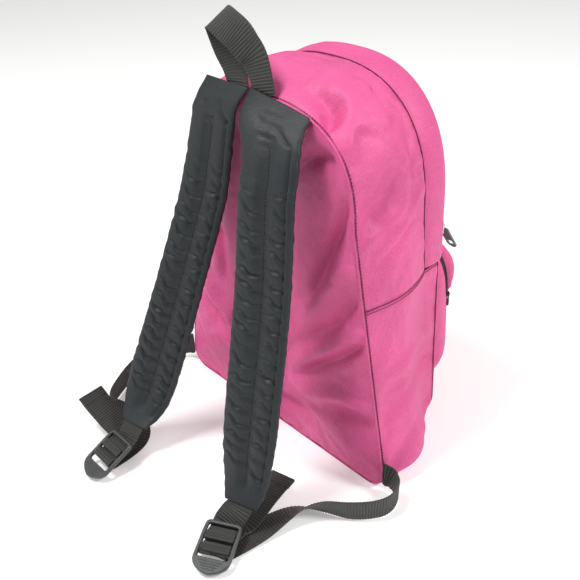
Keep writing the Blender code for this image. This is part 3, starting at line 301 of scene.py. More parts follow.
def cloth_material(name, colour, roughness, sheen, weave, crumple, contrast, spread):
    """Woven cloth: fine crossing threads, soft colour changes and small crumples."""
    material, tree, shader = new_material(name)
    place = add_node(tree, "ShaderNodeTexCoord", "Object")
    broad = speckle(tree, place, 14.0, 3.0)
    mixed = maths(tree, "ADD", broad, speckle(tree, place, 900.0, 2.0))
    shades = ramp(tree, maths(tree, "MULTIPLY", mixed, 0.5),
                  [(0.30, shade(colour, 1.0 - spread)), (0.50, colour),
                   (0.70, shade(colour, 1.0 + spread))])
    warp, weft, depth = [bands(tree, place, weave, way, 0.6, 1.0) for way in "XZY"]
    threads = maths(tree, "ADD", maths(tree, "ADD", warp, weft), depth)
    grain = speckle(tree, place, 420.0, 4.0, 0.7)
    rough = contrast * 1.3
    light = maths(tree, "MULTIPLY", span(tree, threads, 1.0 - contrast, 1.0 + contrast, 0.4, 2.6),
                  span(tree, grain, 1.0 - rough, 1.0 + rough, 0.3, 0.7))
    woven = add_node(tree, "ShaderNodeVectorMath", "Vector", {0: shades, "Scale": light},
                     operation="SCALE")
    small = bump(tree, maths(tree, "ADD", threads, grain), 0.25)
    creases = speckle(tree, place, 70.0, 5.0, 0.55, 0.6)
    fill(tree, shader, {
        "Base Color": woven, "Normal": bump(tree, creases, crumple, 0.002, small),
        "Roughness": span(tree, broad, roughness - 0.05, roughness + 0.06, 0.3, 0.7),
        "Sheen Weight": sheen, "Sheen Roughness": 0.4, "Sheen Tint": shade(colour, 1.8),
        "Specular IOR Level": 0.34})
    return material


def plain_material(name, colour, roughness, metallic=0.0, grain=220.0, strength=0.12):
    """Moulded plastic, metal or thread, with a faint grain."""
    material, tree, shader = new_material(name)
    speck = speckle(tree, add_node(tree, "ShaderNodeTexCoord", "Object"), grain, 4.0)
    fill(tree, shader, {
        "Base Color": ramp(tree, speck, [(0.30, shade(colour, 0.86)), (0.70, shade(colour, 1.12))]),
        "Normal": bump(tree, speck, strength), "Metallic": metallic,
        "Roughness": span(tree, speck, roughness - 0.06, roughness + 0.08, 0.3, 0.7)})
    return material


def webbing_material(name, colour):
    """Ribbed webbing: light flecks of thread along each rib, with painted light on the rib crests and
    painted shade between them, laid out by the ribbon's own map.
    """
    material, tree, shader = new_material(name)
    flat = add_node(tree, "ShaderNodeUVMap", "UV", uv_map="ribbon")
    along = bands(tree, flat, 0.5, "X", 0.4, 1.0)
    # Painted light and shade: lighter on each rib's crest, darker in the dips between the crests
    rib_crest_shading = bands(tree, flat, math.pi / 10.0, "Y", phase=math.pi)
    specks_and_rib_shading = maths(tree, "MULTIPLY", along, speckle(tree, flat, 2.2, 3.0))
    # The thread flecks scaled by the painted rib light and shade
    specks_and_rib_shading = maths(tree, "MULTIPLY", specks_and_rib_shading, span(tree, rib_crest_shading, 0.35, 1.25))
    shades = ramp(tree, specks_and_rib_shading, [(0.05, shade(colour, 0.6)), (0.35, colour),
                                 (0.62, shade(colour, 2.4))])
    fill(tree, shader, {"Base Color": shades, "Normal": bump(tree, specks_and_rib_shading, 0.5, 0.0004),
                        "Roughness": 0.62, "Sheen Weight": 0.15, "Sheen Roughness": 0.5})
    return material


MAGENTA = (0.62, 0.090, 0.250, 1.0)
PAD_BLACK = (0.016, 0.0195, 0.022, 1.0)
MATERIALS = {
    "nylon": cloth_material("magenta_nylon", MAGENTA, 0.52, 0.42, 205.0, 0.50, 0.055, 0.20),
    "pad": cloth_material("black_pad_cloth", PAD_BLACK, 0.50, 0.10, 230.0, 0.35, 0.09, 0.22),
    "webbing": webbing_material("black_webbing", (0.021, 0.021, 0.017, 1.0)),
    "zip": plain_material("zip_black", (0.012, 0.010, 0.011, 1.0), 0.5),
    "plastic": plain_material("lock_plastic", (0.045, 0.049, 0.048, 1.0), 0.36),
    "metal": plain_material("slider_metal", (0.50, 0.50, 0.47, 1.0), 0.28, 1.0, 500.0, 0.05),
    "tab": plain_material("pull_green_grey", (0.11, 0.16, 0.125, 1.0), 0.42),
    # Magenta thread, much darker than the cloth: partly the thread's colour and partly painted shade
    # of the stitch dips and seam grooves
    "thread": plain_material("dark_magenta_thread_and_seam_shade", (0.11, 0.008, 0.032, 1.0), 0.7, 0.0, 900.0, 0.2),
    "black_thread": plain_material("black_thread", (0.010, 0.012, 0.012, 1.0), 0.7, 0.0, 900.0,
                                   0.2),
}


# Pieces
def make_piece(name, points, faces, finish, nodes=()):
    """A piece from points in the bag's axes, riding on the bag, in place of CAD nodes."""
    mesh = bpy.data.meshes.new(name)
    placed = np.array(points, dtype=float) + HOME
    placed[:, 2] = np.maximum(placed[:, 2], 0.0)
    mesh.from_pydata([tuple(point) for point in placed], [], [tuple(face) for face in faces])
    mesh.update()
    piece = bpy.data.objects.new(name, mesh)
    bpy.context.scene.collection.objects.link(piece)
    mesh.materials.append(MATERIALS[finish])
    mesh.shade_smooth()
    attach(piece, "bag")
    if nodes:
        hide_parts(*nodes)
    return piece


def add_wall(piece, thickness):
    """Give a cloth surface its thickness."""
    wall = piece.modifiers.new("wall", "SOLIDIFY")
    wall.thickness = thickness
    wall.offset = -1.0
    return piece


def grid_faces(columns, rows, closed=False):
    """Faces of a grid of points, row after row, with columns points in a row."""
    faces = []
    for row in range(rows - 1):
        for column in range(columns if closed else columns - 1):
            after = (column + 1) % columns
            faces.append((row * columns + column, row * columns + after,
                          (row + 1) * columns + after, (row + 1) * columns + column))
    return faces


def tube_faces(sides, rows, base=0):
    """Faces of a closed tube of rows of points, with its two ends."""
    faces = grid_faces(sides, rows, closed=True)
    faces += [tuple(range(sides))[::-1], tuple(range(sides * (rows - 1), sides * rows))]
    return [tuple(base + index for index in face) for face in faces]


def round_section(point, side, up, wide, sides):
    """Points of a round section about a point."""
    angles = [2.0 * math.pi * turn / sides for turn in range(sides)]
    return [point + side * math.cos(angle) * wide + up * math.sin(angle) * wide
            for angle in angles]


def path_length(points):
    """Distance along a row of points, from its start."""
    return np.append(0.0, np.cumsum(np.linalg.norm(np.diff(points, axis=0), axis=1)))


def along_path(path, reach, place):
    """Rows of a path at one or more lengths along it."""
    return np.stack([np.interp(place, reach, column) for column in path.T], axis=-1)


def soft_noise(point, scale, seed):
    """Smooth noise from -1 to 1 with features of the given size."""
    return noise.noise(Vector((point[0] / scale + seed, point[1] / scale, point[2] / scale)))


SEAM_VALLEY = 0.0019
SEAM_VALLEY_WIDTH = 0.0035
PUCKER_DEPTH = 0.0013
PUCKER_REACH = 0.013
PUCKER_SIZE = 0.008


def seam_depth(distance, arc, seed, strength=1.0):
    """How far cloth dips at a distance from a seam, with puckers along the seam's length."""
    valley = SEAM_VALLEY * math.exp(-(distance / SEAM_VALLEY_WIDTH) ** 2)
    wave = noise.noise(Vector((arc / PUCKER_SIZE, seed, distance / 0.03)))
    wave += 0.6 * noise.noise(Vector((arc / (PUCKER_SIZE * 0.45), seed + 7.0, distance / 0.02)))
    rim = min(distance / 0.0015, 1.0)
    return valley + strength * PUCKER_DEPTH * wave * math.exp(-distance / PUCKER_REACH) * rim


def undulation(point, seed, size=1.0):
    """Broad soft waves of slack cloth."""
    wave = 0.0022 * soft_noise(point, 0.085, seed) + 0.0013 * soft_noise(point, 0.036, seed + 3.0)
    ridge = 1.0 - abs(soft_noise(point, 0.070, seed + 11.0)) * 2.2
    return size * (wave - 0.0010 * max(ridge, 0.0) ** 2)


def crease_sum(flat, creases):
    """Depth of all the creases at each place of an array of two columns."""
    depth = np.zeros(len(flat))
    for row in creases:
        deep, left, right, *line = np.array(row) / 1000.0
        points = np.array(line).reshape(-1, 2)
        reach = path_length(points)
        nearest = np.full(len(flat), 1.0)
        side = np.zeros(len(flat))
        along = np.zeros(len(flat))
        for index in range(len(points) - 1):
            run = points[index + 1] - points[index]
            offset = flat - points[index]
            share = np.clip((offset @ run) / float(run @ run), 0.0, 1.0)
            gap = offset - share[:, None] * run
            distance = np.linalg.norm(gap, axis=1)
            closer = distance < nearest
            nearest = np.where(closer, distance, nearest)
            side = np.where(closer, run[0] * gap[:, 1] - run[1] * gap[:, 0], side)
            along = np.where(closer, (reach[index] + share * np.linalg.norm(run)) / reach[-1],
                             along)
        width = np.where(side > 0.0, left, right)
        taper = np.sqrt(np.clip(np.sin(math.pi * (0.06 + 0.88 * along)), 0.0, 1.0))
        depth += deep * taper * np.exp(-(nearest / width) ** 2)
    return depth


# Creases in millimetres: depth (below nought for a ridge), width on the left and right of the line,
# and then the line's points in the panel's own two lengths
BACK_CREASES = (
    (-9, 6, 8, 142, 199, 97, 155, 53, 117),
    (9.6, 8, 6, 138, 184, 97, 141, 53, 103),
    (9.6, 6, 9, 130, 231, 98, 182, 61, 145),
    (12.4, 10, 6, 112, 325, 93, 279, 71, 216),
    (-8, 8, 8, 124, 271, 85, 210, 60, 170),
    (-8, 10, 8, 146, 104, 111, 102, 51, 87),
    (8.4, 8, 10, 150, 82, 105, 78, 45, 60),
    (9.6, 9, 7, 100, 355, 60, 345, 30, 318),
    (-7.3, 8, 10, 20, 290, 10, 220, 16, 150),
    (10.2, 10, 8, -105, 300, -80, 240, -70, 170),
    (9.6, 8, 9, -140, 130, -90, 100, -30, 85),
    (-8, 9, 8, -130, 170, -85, 130, -30, 112),
    (8.4, 10, 10, -50, 50, 10, 40, 70, 46),
)
FRONT_CREASES = (
    (4.4, 9, 7, 108, 330, 70, 310, 30, 270),
    (-3.4, 8, 9, 100, 352, 60, 335, 20, 300),
    (4.4, 8, 9, -106, 325, -68, 300, -34, 262),
    (-3.6, 9, 10, -20, 380, 0, 330, -6, 270),
    (3.6, 7, 7, 118, 250, 96, 262, 60, 248),
    (3.6, 7, 7, -118, 246, -94, 258, -58, 246),
)
HOOD_CREASES = (
    (17.5, 4.5, 17, 186, 2, 191, 20, 203, 31, 222, 30),
    (-4.2, 5, 7, 150, 2, 172, 20, 186, 34),
    (-6.3, 7, 4, 45, 23, 59, 42, 75, 68, 96, 88),
    (5.3, 4, 7, 40, 25, 53, 41, 69, 67, 88, 88),
    (5.9, 7, 5, 66, 0, 85, 22, 110, 47, 128, 60),
    (-4.6, 6, 6, 57, 0, 75, 31, 93, 64),
    (4.9, 6, 5, 84, 0, 106, 26, 128, 46),
    (5.3, 3, 5, 226, 74, 213, 79, 183, 72, 167, 87),
    (3.9, 4, 4, 150, 81, 128, 79, 105, 74),
    (-5.3, 10, 10, 270, 20, 300, 48, 330, 30),
    (8.8, 8, 12, 404, 2, 399, 20, 386, 30, 366, 28),
    (5.9, 6, 8, 500, 4, 490, 40, 462, 70),
    (-5.3, 7, 6, 530, 10, 520, 45, 498, 80),
    (4.6, 5, 6, 548, 20, 540, 55, 520, 88),
)
BASE_CREASES = (
    (7.8, 7, 5, 602, 2, 618, 20, 620, 65, 611, 118),
    (5.4, 3, 3, 592, 2, 594, 18),
    (-5.4, 8, 8, 650, 2, 654, 19, 660, 63, 650, 124),
    (6.7, 8, 6, 545, 6, 560, 20, 576, 57, 548, 113),
    (5, 3, 3, 679, 122, 658, 129),
    (5.4, 6, 5, 640, 4, 637, 50, 630, 90),
    (7.5, 5, 7, 80, 2, 64, 20, 62, 65, 71, 118),
    (-5.4, 8, 8, 32, 2, 28, 19, 22, 63, 32, 120),
    (6.7, 6, 8, 137, 6, 122, 20, 106, 57, 134, 113),
)
POCKET_CREASES = (
    (4.7, 7, 6, 88, 182, 60, 172, 30, 150),
    (-3.8, 7, 7, 92, 150, 60, 142, 26, 120),
    (5.1, 6, 7, -88, 176, -52, 160, -30, 128),
    (-3.8, 8, 8, -20, 198, 0, 150, -6, 95),
    (4.4, 7, 7, 90, 68, 50, 84, 10, 78),
    (4.4, 7, 7, -88, 66, -50, 80, -16, 76),
)


def disc_mesh(ring, spacing):
    """Points and triangles that fill a closed (x, z) ring at an even spacing."""
    length = path_length(ring)
    count = int(length[-1] / spacing)
    edge = along_path(ring, length, np.linspace(0.0, length[-1], count, endpoint=False))
    low, high = edge.min(axis=0), edge.max(axis=0)
    points = [tuple(point) for point in edge]
    rise = spacing * math.sqrt(3.0) / 2.0
    for row in range(1, int((high[1] - low[1]) / rise)):
        height = low[1] + row * rise
        shift = spacing / 2.0 * (row % 2)
        for column in range(int((high[0] - low[0]) / spacing) + 1):
            point = np.array([low[0] + shift + column * spacing, height])
            gaps = edge - point
            nearest = int(np.argmin((gaps ** 2).sum(axis=1)))
            before, after = edge[nearest - 1], edge[(nearest + 1) % count]
            inward = np.array([-(after - before)[1], (after - before)[0]])
            if float((point - edge[nearest]) @ unit(inward)) > spacing * 0.6:
                points.append(tuple(point))
    borders = [(index, (index + 1) % count) for index in range(count)]
    made = geometry.delaunay_2d_cdt([Vector(point) for point in points], borders, [], 1, 1e-7)
    flat = np.array([tuple(point) for point in made[0]])
    return flat, [tuple(face) for face in made[2]], count


def edge_distance(flat, ring):
    """Distance of each place to a ring, and the length along the ring of its nearest point."""
    length = path_length(ring)
    distances, arcs = [], []
    for place in flat:
        gaps = ((ring[:-1] - place) ** 2).sum(axis=1)
        nearest = int(np.argmin(gaps))
        distances.append(math.sqrt(gaps[nearest]))
        arcs.append(length[nearest])
    return np.array(distances), np.array(arcs)


PANEL_SPACING = 0.0046


def make_panel(name, ring, outward, depth_of, side, folds, seed, slack, waves=1.0):
    """A sewn panel with its bulge, folds, waves and the dip along its seam."""
    inner = ring - outward * SEAM_GAP
    flat, faces, border = disc_mesh(inner, PANEL_SPACING)
    distances, arcs = edge_distance(flat, inner)
    fade = np.clip(distances / 0.02, 0.0, 1.0)
    depths = depth_of(flat)
    creases = crease_sum(flat, folds) * np.clip(distances / 0.010, 0.0, 1.0)
    points = []
    for index, place in enumerate(flat):
        wave = undulation((place[0], 0.0, place[1]), seed, waves) * fade[index]
        dip = seam_depth(distances[index], arcs[index], seed)
        points.append((place[0], depths[index] + side * (wave - dip), place[1]))
    if side < 0.0:
        faces = [tuple(reversed(face)) for face in faces]
    piece = make_piece(name, points, faces, "nylon", nodes=(name,))
    settle(piece, range(border), *slack)
    press(piece, np.outer(creases, (0.0, -side, 0.0)))
    return finish_cloth(piece)


# Lowest place of a cloth surface: its wall reaches this far below it
CLOTH_FLOOR = 0.0012


def move_to(piece, places):
    """Put a piece's points at new places."""
    piece.data.vertices.foreach_set("co", places.ravel())
    piece.data.update()


def press(piece, moves):
    """Move a piece's points, one move to each, and keep its wall off the floor."""
    places = np.array([tuple(vertex.co) for vertex in piece.data.vertices]) + moves
    places[:, 2] = np.maximum(places[:, 2], CLOTH_FLOOR)
    move_to(piece, places)


# How the cloth settles
CLOTH_RULES = {"quality": 6, "mass": 0.02, "tension_stiffness": 12.0,
               "compression_stiffness": 12.0, "shear_stiffness": 4.0, "bending_stiffness": 0.02,
               "vertex_group_mass": "pinned", "use_pressure": True, "uniform_pressure_force": 1.0}
SETTLE_FRAMES = 18


def settle(piece, pinned, grow, cap):
    """Let a cloth piece settle: it is cut a little large, pinned at its seams and pressed out."""
    scene = bpy.context.scene
    before = np.array([tuple(vertex.co) for vertex in piece.data.vertices])
    group = piece.vertex_groups.new(name="pinned")
    group.add([int(index) for index in pinned], 1.0, "REPLACE")
    cloth = piece.modifiers.new("cloth", "CLOTH")
    for name, value in CLOTH_RULES.items():
        setattr(cloth.settings, name, value)
    cloth.settings.shrink_min = -grow
    cloth.settings.effector_weights.gravity = 0.0
    cloth.point_cache.frame_start = 1
    cloth.point_cache.frame_end = SETTLE_FRAMES
    for step in range(1, SETTLE_FRAMES + 1):
        scene.frame_set(step)
    solved = piece.evaluated_get(bpy.context.evaluated_depsgraph_get())
    after = np.array([tuple(vertex.co) for vertex in solved.data.vertices])
    piece.modifiers.remove(cloth)
    move = after - before
    reach = np.linalg.norm(move, axis=1)
    share = cap * np.tanh(reach / cap) / np.maximum(reach, 1e-9)
    move_to(piece, before + move * share[:, None])
    scene.frame_set(1)


def back_depth(flat):
    """Depth of the back panel at each place."""
    share = front_share(flat, BACK_RING, BACK_OUT, BACK_CENTRE)
    low = 1.0 - np.clip(flat[:, 1] / BACK["height"], 0.0, 1.0) * 0.55
    return -BACK_BULGE * low * (1.0 - share ** 2.6)


def make_gusset(name, first, last, depth_low, depth_high, columns, rows, folds, seed, lift=None,
                waves=1.0, ends=1.0, slack=None):
    """A strip of the shell between two steps of the ring, with folds, waves and edge dips."""
    base = np.zeros((rows, columns, 3))
    outs = np.zeros((rows, columns, 3))
    for row in range(rows):
        share = row / (rows - 1.0)
        depth = depth_low + (depth_high - depth_low) * share
        for column in range(columns):
            step = (first + (last - first) * column / (columns - 1.0)) % RING_STEPS
            point, out = shell_point(step, depth, lift(share) if lift else 0.0)
            base[row, column] = point
            outs[row, column] = (out[0], 0.0, out[1])
    arcs = path_length(base[rows // 2])
    girths = path_length(base[:, columns // 2])
    flat = np.array([(arc, girth) for girth in girths for arc in arcs])
    depth = crease_sum(flat, folds)
    points, moves = [], []
    for index, (arc, girth) in enumerate(flat):
        row, column = divmod(index, columns)
        edges = min(girth, girths[-1] - girth)
        side = min(arc, arcs[-1] - arc)
        fade = min(edges / 0.012, 1.0) * min(side / 0.012, 1.0)
        floor = min(max(base[row, column][2] / 0.02, 0.0), 1.0)
        floor = max(floor, 1.0 if outs[row, column][2] > -0.5 else 0.0)
        wave = undulation(base[row, column], seed, waves) * fade
        dip = seam_depth(edges, arc, seed) + ends * seam_depth(side, girth, seed + 2.0)
        points.append(base[row, column] - outs[row, column] * (dip - wave) * floor)
        moves.append(outs[row, column] * (-depth[index] * fade * floor))
    piece = make_piece(name, points, grid_faces(columns, rows), "nylon", nodes=(name,))
    border = [index for index in range(len(flat))
              if index // columns in (0, rows - 1) or index % columns in (0, columns - 1)]
    if slack:
        settle(piece, border, *slack)
        press(piece, np.array(moves))
        finish_cloth(piece)
    return piece


def finish_cloth(piece, thickness=0.0011):
    """Smooth a settled cloth piece and give it its thickness."""
    smoother = piece.modifiers.new("smoother", "SUBSURF")
    smoother.levels = 1
    smoother.render_levels = 1
    return add_wall(piece, thickness)


def tube(name, points, radius, finish, ups, sides=8):
    """A round cord of cloth or thread along a path, or a dark cord of painted seam shade."""
    path = np.array(points)
    ahead = np.roll(path, -1, axis=0) - np.roll(path, 1, axis=0)
    ahead[0], ahead[-1] = path[1] - path[0], path[-1] - path[-2]
    verts = []
    for point, along, up in zip(path, ahead, ups):
        along = unit(along)
        side = unit(np.cross(along, up))
        verts += round_section(point, side, np.cross(side, along), radius, sides)
    return make_piece(name, verts, tube_faces(sides, len(path)), finish)


STITCH_SIDES = 5
STITCH_SHARES = (0.0, 0.2, 0.5, 0.8, 1.0)


def stitch_row(name, points, ups, finish, pitch=0.0034, length=0.0026, radius=0.00046):
    """Stitches at an even pitch along a path, each a short thread that dips at both ends."""
    path, ups = np.array(points), np.array(ups)
    reach = path_length(path)
    verts, faces = [], []
    for number in range(int(reach[-1] / pitch)):
        faces += tube_faces(STITCH_SIDES, len(STITCH_SHARES), len(verts))
        for share in STITCH_SHARES:
            place = (number + 0.25) * pitch + length * share
            point = along_path(path, reach, place)
            along = unit(along_path(path, reach, place + 0.0002) - point)
            side = unit(np.cross(along, along_path(ups, reach, place)))
            up = np.cross(side, along)
            bow = math.sin(math.pi * share)
            verts += round_section(point + up * radius * (1.6 * bow - 0.6), side, up,
                                   radius * (0.55 + 0.45 * bow), STITCH_SIDES)
    return make_piece(name, verts, faces, finish)


def seam_path(shell, steps, depths, lift):
    """Points of a seam of the bag or the pocket, with their outward directions."""
    found = [shell(step % RING_STEPS, depth, lift) for step, depth in zip(steps, depths)]
    return [point for point, _ in found], [(out[0], 0.0, out[1]) for _, out in found]


def ring_path(first, last, depth, lift, steps=420):
    """Points of a seam that runs round the bag at a share of the depth."""
    return seam_path(shell_point, np.linspace(first, last, steps), np.full(steps, depth), lift)


def flap_lift(share):
    """How far the storm flap stands off the shell at a share of its width."""
    return 0.0003 + FLAP_GAP * share + FLAP_BULGE * math.sin(math.pi * share ** 0.8)


def make_bag():
    """The main compartment, with its seams."""
    make_panel("back_panel", BACK_RING, BACK_OUT, back_depth, -1.0, BACK_CREASES, 1.0,
               (0.012, 0.006))
    make_panel("front_panel", FRONT_RING, FRONT_OUT, front_depth, 1.0, FRONT_CREASES, 5.0,
               (0.010, 0.005), 0.6)
    make_gusset("hood_gusset", YOKE_STEP + 0.01, RING_STEPS - YOKE_STEP - 0.01, 0.0, ZIP_SHARE,
                150, 26, HOOD_CREASES, 9.0, slack=(0.012, 0.006))
    make_gusset("base_gusset", -YOKE_STEP + 0.01, YOKE_STEP - 0.01, 0.0, 1.0, 180, 32,
                BASE_CREASES, 13.0, slack=(0.010, 0.005))
    start, end = YOKE_STEP + FLAP_START, RING_STEPS - YOKE_STEP - FLAP_START
    low, high = ZIP_SHARE - FLAP_TUCK / BAG_DEPTH, 1.0 + FLAP_OVERHANG / BAG_DEPTH
    finish_cloth(make_gusset("storm_flap", start, end, low, high, 140, 9, (), 17.0, flap_lift, 0.5,
                             0.3))
    tape = make_gusset("main_zip", YOKE_STEP + ZIP_START, RING_STEPS - YOKE_STEP - ZIP_START,
                       ZIP_SHARE, 1.0 - PANEL_INSET / BAG_DEPTH, 120, 5, (), 19.0,
                       lambda share: -PANEL_INSET, 0.0, 0.0)
    tape.data.materials[0] = MATERIALS["zip"]
    add_wall(tape, 0.0009)
    for name, depth, lift in (("back_seam_welt", 0.0, -0.0006), ("front_seam_welt", 1.0, -0.0008)):
        points, ups = ring_path(0.0, RING_STEPS, depth, lift)
        tube(name, points, WELT_RADIUS, "nylon", ups)
    depths = np.linspace(0.02, 0.98, 60)
    for side, step, way in (("right", YOKE_STEP, 1.0), ("left", RING_STEPS - YOKE_STEP, -1.0)):
        for row, offset in (("upper", 0.05), ("lower", -0.05)):
            points, ups = seam_path(shell_point, np.full(60, step + way * offset), depths, 0.0003)
            stitch_row(side + "_yoke_stitches_" + row, points, ups, "thread")
    # Dark cords in the dark thread colour along the seams: painted shade in the seam grooves beside
    # the stitches
    for name, first, last, depth, lift in (
            ("flap_seam_shade_cord", start, end, ZIP_SHARE - 0.018, 0.0010),
            ("back_seam_shade_cord", 0.0, RING_STEPS, 0.012, 0.0005),
            ("base_seam_shade_cord", 4.0, YOKE_STEP, 0.986, 0.0),
            ("base_seam_shade_cord_left", RING_STEPS - YOKE_STEP, RING_STEPS - 4.0, 0.986, 0.0)):
        points, ups = ring_path(first, last, depth, lift)
        tube(name, points, SEAM_SHADE_CORD_RADIUS, "thread", ups, 6)
    points, ups = ring_path(start, end, ZIP_SHARE - 0.016, 0.0004, 300)
    stitch_row("flap_stitches", points, ups, "thread")
    points, ups = ring_path(0.0, RING_STEPS, 0.016, 0.0002)
    stitch_row("back_seam_stitches", points, ups, "thread")


def gusset_end(step):
    """Where the pocket's gusset ends: at its face low down and at the zip above."""
    place = step if step <= HALF_STEPS else RING_STEPS - step
    return 1.0 if place < YOKE_STEP - 0.01 else zip_depth(step)


def zip_end(step):
    """Where the pocket's zip ends towards its face."""
    return zip_depth(step) + ZIP_BAND


def face_depth(flat):
    """Depth of the pocket's face at each place."""
    share = front_share(flat, FACE_RING, FACE_OUT, FACE_CENTRE)
    return POCKET_DEPTH + POCKET_BULGE * (1.0 - share ** 2.4)


def make_strip(name, first, last, low, high, columns, rows, seed, finish="nylon", lift=0.0):
    """A strip of the pocket between two steps of the ring and two lines of its depth."""
    points = []
    for row in range(rows):
        share = row / (rows - 1.0)
        for column in range(columns):
            step = (first + (last - first) * column / (columns - 1.0)) % RING_STEPS
            start, end = low(step), high(step)
            point, out = pocket_shell(step, start + (end - start) * share, lift)
            edge = min(share, 1.0 - share) * 0.03
            outward = np.array([out[0], 0.0, out[1]])
            near = (abs(step - HALF_STEPS) - 7.0) / 2.5
            puff = PUFF * math.sin(math.pi * share) * math.exp(-near ** 2) \
                if name == "pocket_hood" else 0.0
            point = point + outward * puff + np.array([0.0, puff * 0.6, 0.0])
            wave = undulation(point, seed, 0.5) * min(edge / 0.006, 1.0)
            dip = seam_depth(edge, column * 0.004, seed, 0.7) if finish == "nylon" else 0.0
            points.append(point + outward * (wave - dip))
    return make_piece(name, points, grid_faces(columns, rows), finish, nodes=(name,))


def make_pocket():
    """The bellows pocket with its zip."""
    first, last = YOKE_STEP, RING_STEPS - YOKE_STEP
    finish_cloth(make_strip("pocket_gusset", -HALF_STEPS, HALF_STEPS, lambda step: 0.0, gusset_end,
                            289, 12, 23.0))
    add_wall(make_strip("pocket_zip", first, last, zip_depth, zip_end, 180, 4, 24.0, "zip",
                        -0.0008), 0.0008)
    steps = np.linspace(first, last, 400)
    depths = [zip_depth(step) + ZIP_BAND / 2.0 for step in steps]
    points, ups = seam_path(pocket_shell, steps, depths, -0.0004)
    stitch_row("pocket_zip_coil", points, ups, "zip", 0.0013, 0.0010, 0.0009)
    finish_cloth(make_strip("pocket_hood", first, last, zip_end, lambda step: 1.0, 150, 9, 25.0))
    make_panel("pocket_front", FACE_RING, FACE_OUT, face_depth, 1.0, POCKET_CREASES, 29.0,
               (0.010, 0.004), 0.6)
    tube("pocket_seam_welt", [(x, POCKET_DEPTH - 0.0006, z) for x, z in FACE_RING[::2]],
         WELT_RADIUS, "nylon", [(x, 0.0, z) for x, z in FACE_OUT[::2]])


def curve_through(points, per_row):
    """Points of a smooth curve through the given rows, with per_row of them from row to row."""
    rows = np.array(points, dtype=float)
    padded = np.vstack([2.0 * rows[0] - rows[1], rows, 2.0 * rows[-1] - rows[-2]])
    fine = []
    for index in range(1, len(padded) - 2):
        before, start, end, after = padded[index - 1:index + 3]
        for share in np.linspace(0.0, 1.0, per_row, endpoint=False):
            fine.append(0.5 * (2.0 * start + (end - before) * share
                               + (2.0 * before - 5.0 * start + 4.0 * end - after) * share ** 2
                               + (3.0 * start - before - 3.0 * end + after) * share ** 3))
    fine.append(rows[-1])
    return np.array(fine)


def even_path(fine, count):
    """The rows of a path at even distances."""
    reach = path_length(fine[:, :3])
    return along_path(fine, reach, np.linspace(0.0, reach[-1], count))


# Shoulder pads, near those of the solids: x, y and z as shares of the back's half width, the straps'
# reach and the back's height, width and thickness as shares of the pad's, and turn and tilt in degrees
PAD_WIDTH = 0.060
PAD_THICKNESS = 0.011
STRAP_REACH = 0.140
RIGHT_PAD = (
    (0.176, -0.0150, 0.998, 1.31, 0.40, 0.0, 8.0),
    (0.225, -0.150, 0.958, 1.24, 0.70, 2.0, 9.0),
    (0.290, -0.225, 0.915, 1.08, 0.95, 6.0, 7.0),
    (0.330, -0.290, 0.860, 1.00, 1.00, 12.0, 3.0),
    (0.350, -0.345, 0.805, 0.98, 1.00, 16.0, 0.0),
    (0.415, -0.485, 0.590, 0.97, 1.00, 20.0, 0.0),
    (0.500, -0.705, 0.345, 0.97, 1.00, 20.0, 0.0),
    (0.535, -0.805, 0.228, 0.95, 0.98, 18.0, 0.0),
    (0.560, -0.885, 0.125, 0.82, 0.85, 15.0, 0.0),
    (0.582, -0.960, 0.083, 0.62, 0.40, 15.0, 0.0),
)
LEFT_PAD = (
    (-0.276, -0.0180, 1.008, 1.02, 0.40, 0.0, 0.0),
    (-0.310, -0.105, 0.955, 0.99, 0.70, 3.0, -3.0),
    (-0.326, -0.135, 0.900, 0.93, 0.95, 8.0, -2.0),
    (-0.342, -0.195, 0.800, 0.90, 1.00, 15.0, 0.0),
    (-0.358, -0.270, 0.705, 0.89, 1.00, 22.0, 0.0),
    (-0.388, -0.480, 0.520, 0.89, 1.00, 26.0, 0.0),
    (-0.430, -0.665, 0.350, 0.92, 1.00, 28.0, 0.0),
    (-0.490, -0.825, 0.190, 0.94, 0.98, 26.0, 0.0),
    (-0.500, -0.940, 0.120, 0.82, 0.85, 20.0, 0.0),
    (-0.483, -1.040, 0.090, 0.62, 0.40, 5.0, 0.0),
)
PAD_SECTIONS = 300
PAD_ROUND = 88


def pad_path(table):
    """Rows of a pad in metres at even distances: place, width, thickness, turn and tilt."""
    scale = np.array([BACK["low"], STRAP_REACH, BACK["height"], PAD_WIDTH, PAD_THICKNESS, 1.0, 1.0])
    return even_path(curve_through(np.array(table) * scale, 24), PAD_SECTIONS)


def pad_frame(path, index):
    """Direction along a pad, across it and out of its face at one section."""
    along = unit(path[min(index + 1, len(path) - 1), :3] - path[max(index - 1, 0), :3])
    turn, tilt = np.radians(path[index, 5:7])
    across = np.array([math.cos(turn) * math.cos(tilt), math.sin(turn) * math.cos(tilt),
                       -math.sin(tilt)])
    square = min(index / (len(path) * 0.4), 1.0)
    across = unit(across - along * float(across @ along) * square)
    return along, across, unit(np.cross(along, across))


def pucker_rows(length, seed, start, end):
    """Places along a pad where a pucker starts, with strength and slope, for one half of it."""
    rows = []
    place = start
    number = 0
    while place < end:
        chance = noise.noise(Vector((number * 1.7, seed, 0.3)))
        other = noise.noise(Vector((number * 2.3, seed + 5.0, 0.7)))
        rows.append((place, 0.75 + 0.5 * chance, 0.62 + 0.5 * other))
        place += 0.0145 + 0.006 * other
        number += 1
    return np.array(rows)


# Creases where the channel starts, as (arc after the start, across) of both ends, and depth
PAD_START = 0.033
START_CREASES = (
    (0.004, -0.001, -0.010, -0.013, 0.0022),
    (0.003, 0.001, -0.013, 0.006, 0.0018),
    (-0.013, 0.006, 0.004, 0.022, 0.0022),
    (-0.020, -0.002, -0.024, 0.004, 0.0012),
)
EDGE_LINE = 0.74
HEM_DEPTH = 0.0016
HEM_WIDTH = 0.0015

